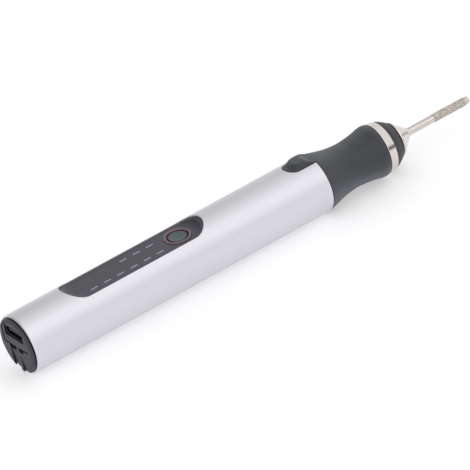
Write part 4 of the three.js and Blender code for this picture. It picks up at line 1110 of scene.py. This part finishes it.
button_rim = button_high.z - 0.02
dish_depth = 0.26
dish_radius = 2.6
dish = [(button_rim - dish_depth * (1 - (r / dish_radius) ** 2), r, 0) for r in (2.4, 2, 1.5, 1, 0.5, 0.01)]
skirt_radius = 3.28
skirt_top = button_low.z + 0.3
button_radius = 2.76
button_profile = rounded([
    (button_low.z, 0), (button_low.z, skirt_radius), (skirt_top, skirt_radius), (skirt_top, button_radius),
    (button_rim, button_radius, 0.16), *dish, (dish[-1][0], 0)], 0.06, steps=4)
button = turned(button_profile, 72, upright_at=button_x)
make_piece(button, "button_face", "power_button", "grey_button", "power_button")

# %% [markdown]
# ## The tail cap
# The cap has a flat middle that falls away to its edge, an opening for the port's insert and two grooves for
# a lanyard. Seen from the tail it is one plate cut through by the opening and the grooves, with a rib left
# standing between them. Behind it lie the grooves' sloping beds and a base plate with a deep pocket at the
# head of each groove. Plate, rib and beds have rolled edges.

# %% The tail cap
tail_low, tail_high = drawn_box("tail_cap")
insert_low, insert_high = drawn_box("port_bezel")
shell_low, shell_high = drawn_box("socket_shell")
port_z = (shell_low.z + shell_high.z) / 2
port_window = box_path(0, port_z, 9.2, 3.4, 0.5, steps=5)
cap_face = tail_low.x
flat_middle = 6.9
plate_edge = tail_high.z - 0.06
edge_station = -0.5
plate_back = -0.38
base_face = plate_back + 0.01
base_radius = 7.7
base_back = 1.1
lip_radius = 8.5
lip_rear, lip_front = -0.06, -0.01
spigot = (7.88, 7.35)
spigot_end = 5
cap_steps = 128
opening_gap = 0.1
pocket_floor = 0.7
pocket_height = 1.3
groove_in, groove_out = 0.6, 3.4
groove_head, groove_foot = -1.7, -6.7
bed_station = -0.85
bed_slope = 0.4 / (groove_head - groove_foot)
rib_drop = 0.3
insert_sink = insert_low.x - tail_low.x
insert_gap = 0.06


def tail_skin(y, z):
    """The station of the cap's skin at a point of its face."""
    share = max(0, math.hypot(y, z) - flat_middle) / (plate_edge - flat_middle)
    return edge_station + (cap_face - edge_station) * math.sqrt(1 - min(1, share) ** 2)


def facing(path, station):
    """A path seen from the tail, laid at a station."""
    return [Vector((station, p[0], p[1])) for p in path]


def arc(radius, start, end, spacing=0.35):
    """Points on a round line in the face, from one direction to another."""
    steps = max(2, math.ceil(abs(end - start) * radius / spacing))
    turns = np.linspace(start, end, steps + 1)
    return [Vector((radius * math.cos(t), radius * math.sin(t))) for t in turns]


def soft_path(points, size):
    """A closed path with rounded corners and even steps."""
    return divided(rounded([Vector(p) for p in points], size, steps=3, closed=True), 0.4, closed=True)


def face_plate(drawing, path, skin, back, size, spacing, holes=()):
    """A plate whose face follows the skin, with a rolled edge round it and round its holes."""
    tops, feet = [], []
    for line, is_hole in [(path, False)] + [(hole, True) for hole in holes]:
        roll = rolled_edge(line, size, True, hole=is_hole, steps=3)
        rows = [[Vector((min(skin(*p) + drop, back), p.x, p.y)) for p in flat] for flat, drop in roll]
        rows.append(facing(line, back))
        join_rows(drawing, rows, closed_line=True)
        tops.append([(p.y, p.z) for p in rows[0]])
        feet.append([(p.y, p.z) for p in rows[-1]])
    fill(drawing, tops[0], tops[1:], (spacing, spacing), lambda y, z: Vector((skin(y, z), y, z)))
    fill(drawing, feet[0], feet[1:], (spacing * 2, spacing * 2), lambda y, z: Vector((back, y, z)))


def tail_cap():
    drawing = bmesh.new()
    opening_half = insert_high.y + opening_gap
    opening_low = insert_low.z - opening_gap
    opening_radius = insert_high.z + opening_gap
    lean = math.acos(opening_half / opening_radius)
    foot = math.asin(groove_out / plate_edge)
    outline = [
        *arc(plate_edge, -math.pi / 2 + foot, 3 * math.pi / 2 - foot, 0.7),
        (-groove_out, opening_low), (-opening_half, opening_low),
        *arc(opening_radius, math.pi - lean, lean), (opening_half, opening_low), (groove_out, opening_low)]
    face_plate(drawing, soft_path(outline, 0.3), tail_skin, plate_back, 0.1, 0.5)
    rib_foot = -math.sqrt(plate_edge ** 2 - groove_in ** 2)
    rib = [(-groove_in, rib_foot), (groove_in, rib_foot), (groove_in, opening_low), (-groove_in, opening_low)]
    face_plate(drawing, soft_path(rib, 0.2), lambda y, z: max(tail_skin(y, z), cap_face + rib_drop),
               plate_back, 0.1, 0.4)
    for side in (-1, 1):
        bed_in, bed_out = side * (groove_in + 0.01), side * (groove_out - 0.01)
        bed = [(bed_in, groove_head), (bed_in, groove_foot), (bed_out, groove_foot), (bed_out, groove_head)]
        face_plate(drawing, soft_path(bed, 0.12), lambda y, z: bed_station + bed_slope * (groove_head - z),
                   plate_back, 0.05, 0.6)
    base_rows = [facing(circle(0, 0, radius, cap_steps), x) for x, radius in (
        (base_face, base_radius), (lip_rear, base_radius), (lip_rear, lip_radius - 0.03),
        (lip_rear + 0.02, lip_radius), (lip_front, lip_radius), (lip_front, spigot[0]),
        (spigot_end, spigot[0]), (spigot_end, spigot[1]), (base_back, spigot[1]))]
    join_rows(drawing, base_rows, closed_line=True)
    join_rows(drawing, [facing(port_window, base_face), facing(port_window, base_back)], closed_line=True)
    pockets = [box_path(side * (groove_in + groove_out) / 2, opening_low - pocket_height / 2,
                        groove_out - groove_in, pocket_height, 0.15) for side in (-1, 1)]
    for pocket in pockets:
        join_rows(drawing, [facing(pocket, base_face), facing(pocket, pocket_floor)], closed_line=True)
        fill(drawing, pocket, [], (1, 1), lambda y, z: Vector((pocket_floor, y, z)))
    fill(drawing, circle(0, 0, base_radius, cap_steps), [port_window, *pockets], (1, 1),
         lambda y, z: Vector((base_face, y, z)))
    fill(drawing, circle(0, 0, spigot[1], cap_steps), [port_window], (2, 2),
         lambda y, z: Vector((base_back, y, z)))
    return drawing


make_piece(tail_cap(), "tail_shell", "casing", "dark_plastic", "tail_cap")

# %% [markdown]
# ## The port's insert
# A separate moulding round the charging window, sunk a little in the cap. Its outline runs along the cap's
# edge at a small gap, and its face follows the cap's own skin.

# %% The insert
insert_half = insert_high.y - insert_gap
insert_radius = insert_high.z - insert_gap
insert_foot = insert_low.z + insert_gap
insert_lean = math.acos(insert_half / insert_radius)
insert_outline = [(-insert_half, insert_foot), (insert_half, insert_foot),
                  *arc(insert_radius, insert_lean, math.pi - insert_lean)]
insert = bmesh.new()
face_plate(insert, soft_path(insert_outline, 0.25), lambda y, z: tail_skin(y, z) + insert_sink,
           plate_back - 0.01, 0.1, 0.5, [port_window])
make_piece(insert, "port_insert", "casing", "dark_plastic", "port_bezel")

# %% [markdown]
# ## The socket
# The socket behind the window is a drawn steel shell with round ends. Its tongue is a thin blade on a wider
# seat, and a row of gilt contacts goes through the blade, so that it shows on both faces.

# %% Shell, tongue and contacts
shell_half = (shell_high.z - shell_low.z) / 2


def shell_row(station, inset):
    """The shell's outline at a station, some way inside its box."""
    points = stadium(shell_low.y + inset, shell_high.y - inset, shell_half - inset, 16)
    return facing([(p.x, p.y + port_z) for p in points], station)


shell_profile = rounded([(shell_high.x, 0), (shell_low.x, 0), (shell_low.x, 0.3), (shell_high.x, 0.3)], 0.1,
                        steps=3, closed=True)
shell = bmesh.new()
join_rows(shell, [shell_row(*point) for point in shell_profile], closed_rows=True, closed_line=True)
# The shell gets a near-black finish in place of its steel: painted shade, so the inside of the window reads
# dark.
make_piece(shell, "socket_sleeve", "casing", "steel", "socket_shell", look="painted_shade_steel")

tongue_low, tongue_high = drawn_box("socket_tongue")
seat_start = tongue_high.x - 1.4
seat_inset = 0.02
blade_half = 0.35
blade_reach = 3.35


def lying_block(x0, x1, half, low, high, corner, lip):
    """A block that points along the pen, with a rolled edge at its rear end."""
    made = bmesh.new()
    path = box_path(0, (low + high) / 2, 2 * half, high - low, corner)
    rows = [facing(line, x0 + drop) for line, drop in rolled_edge(path, lip, True, steps=3)]
    rows.append(facing(path, x1))
    join_rows(made, rows, closed_line=True)
    cap_ends(made, rows)
    return made


blade = lying_block(tongue_low.x, seat_start, blade_reach, port_z - blade_half, port_z + blade_half,
                    0.15, 0.12)
take_in(blade, lying_block(seat_start, tongue_high.x, tongue_high.y - seat_inset, tongue_low.z + seat_inset,
                           tongue_high.z - seat_inset, 1.1, 0.05))
# The blade takes the lighter grey of the magnet finish in place of its black plastic: painted light, so it
# shows in the window's shade.
make_piece(blade, "socket_blade", "casing", "black_plastic", "socket_tongue", look="dark_magnet")

contact_count = 12
contact_pitch = 0.5
contact = block(tongue_low.x + 2.4, 0, 3.8, 0.26, -blade_half - 0.02, blade_half + 0.02, 0.08, lip=0.02)
contacts = grown(pillars, contact, "gilt", Count=contact_count, Step=(0, contact_pitch, 0),
                 Start=(0, -contact_pitch * (contact_count - 1) / 2, port_z))
make_piece(contacts, "socket_contacts", "casing", "copper", look="gilt")

# %% [markdown]
# ## The hidden pieces
# Board, battery, motor, bearings and spindle keep their CAD meshes. Each gets the finish of its material
# slot in the record, so that the pen also looks right with its casing off.

# %% Finishes on the CAD nodes
slot_of = {part["node"]: part["material_slot"] for part in frame["record"]["subparts"]}
dressed = 0
for name, node in frame["nodes"].items():
    if node.hide_render:
        continue
    look = finishes[slot_of[name]]
    if not node.material_slots:
        node.data.materials.append(look)
    for spot in node.material_slots:
        spot.material = look
    dressed += 1
print(dressed, "CAD nodes dressed")
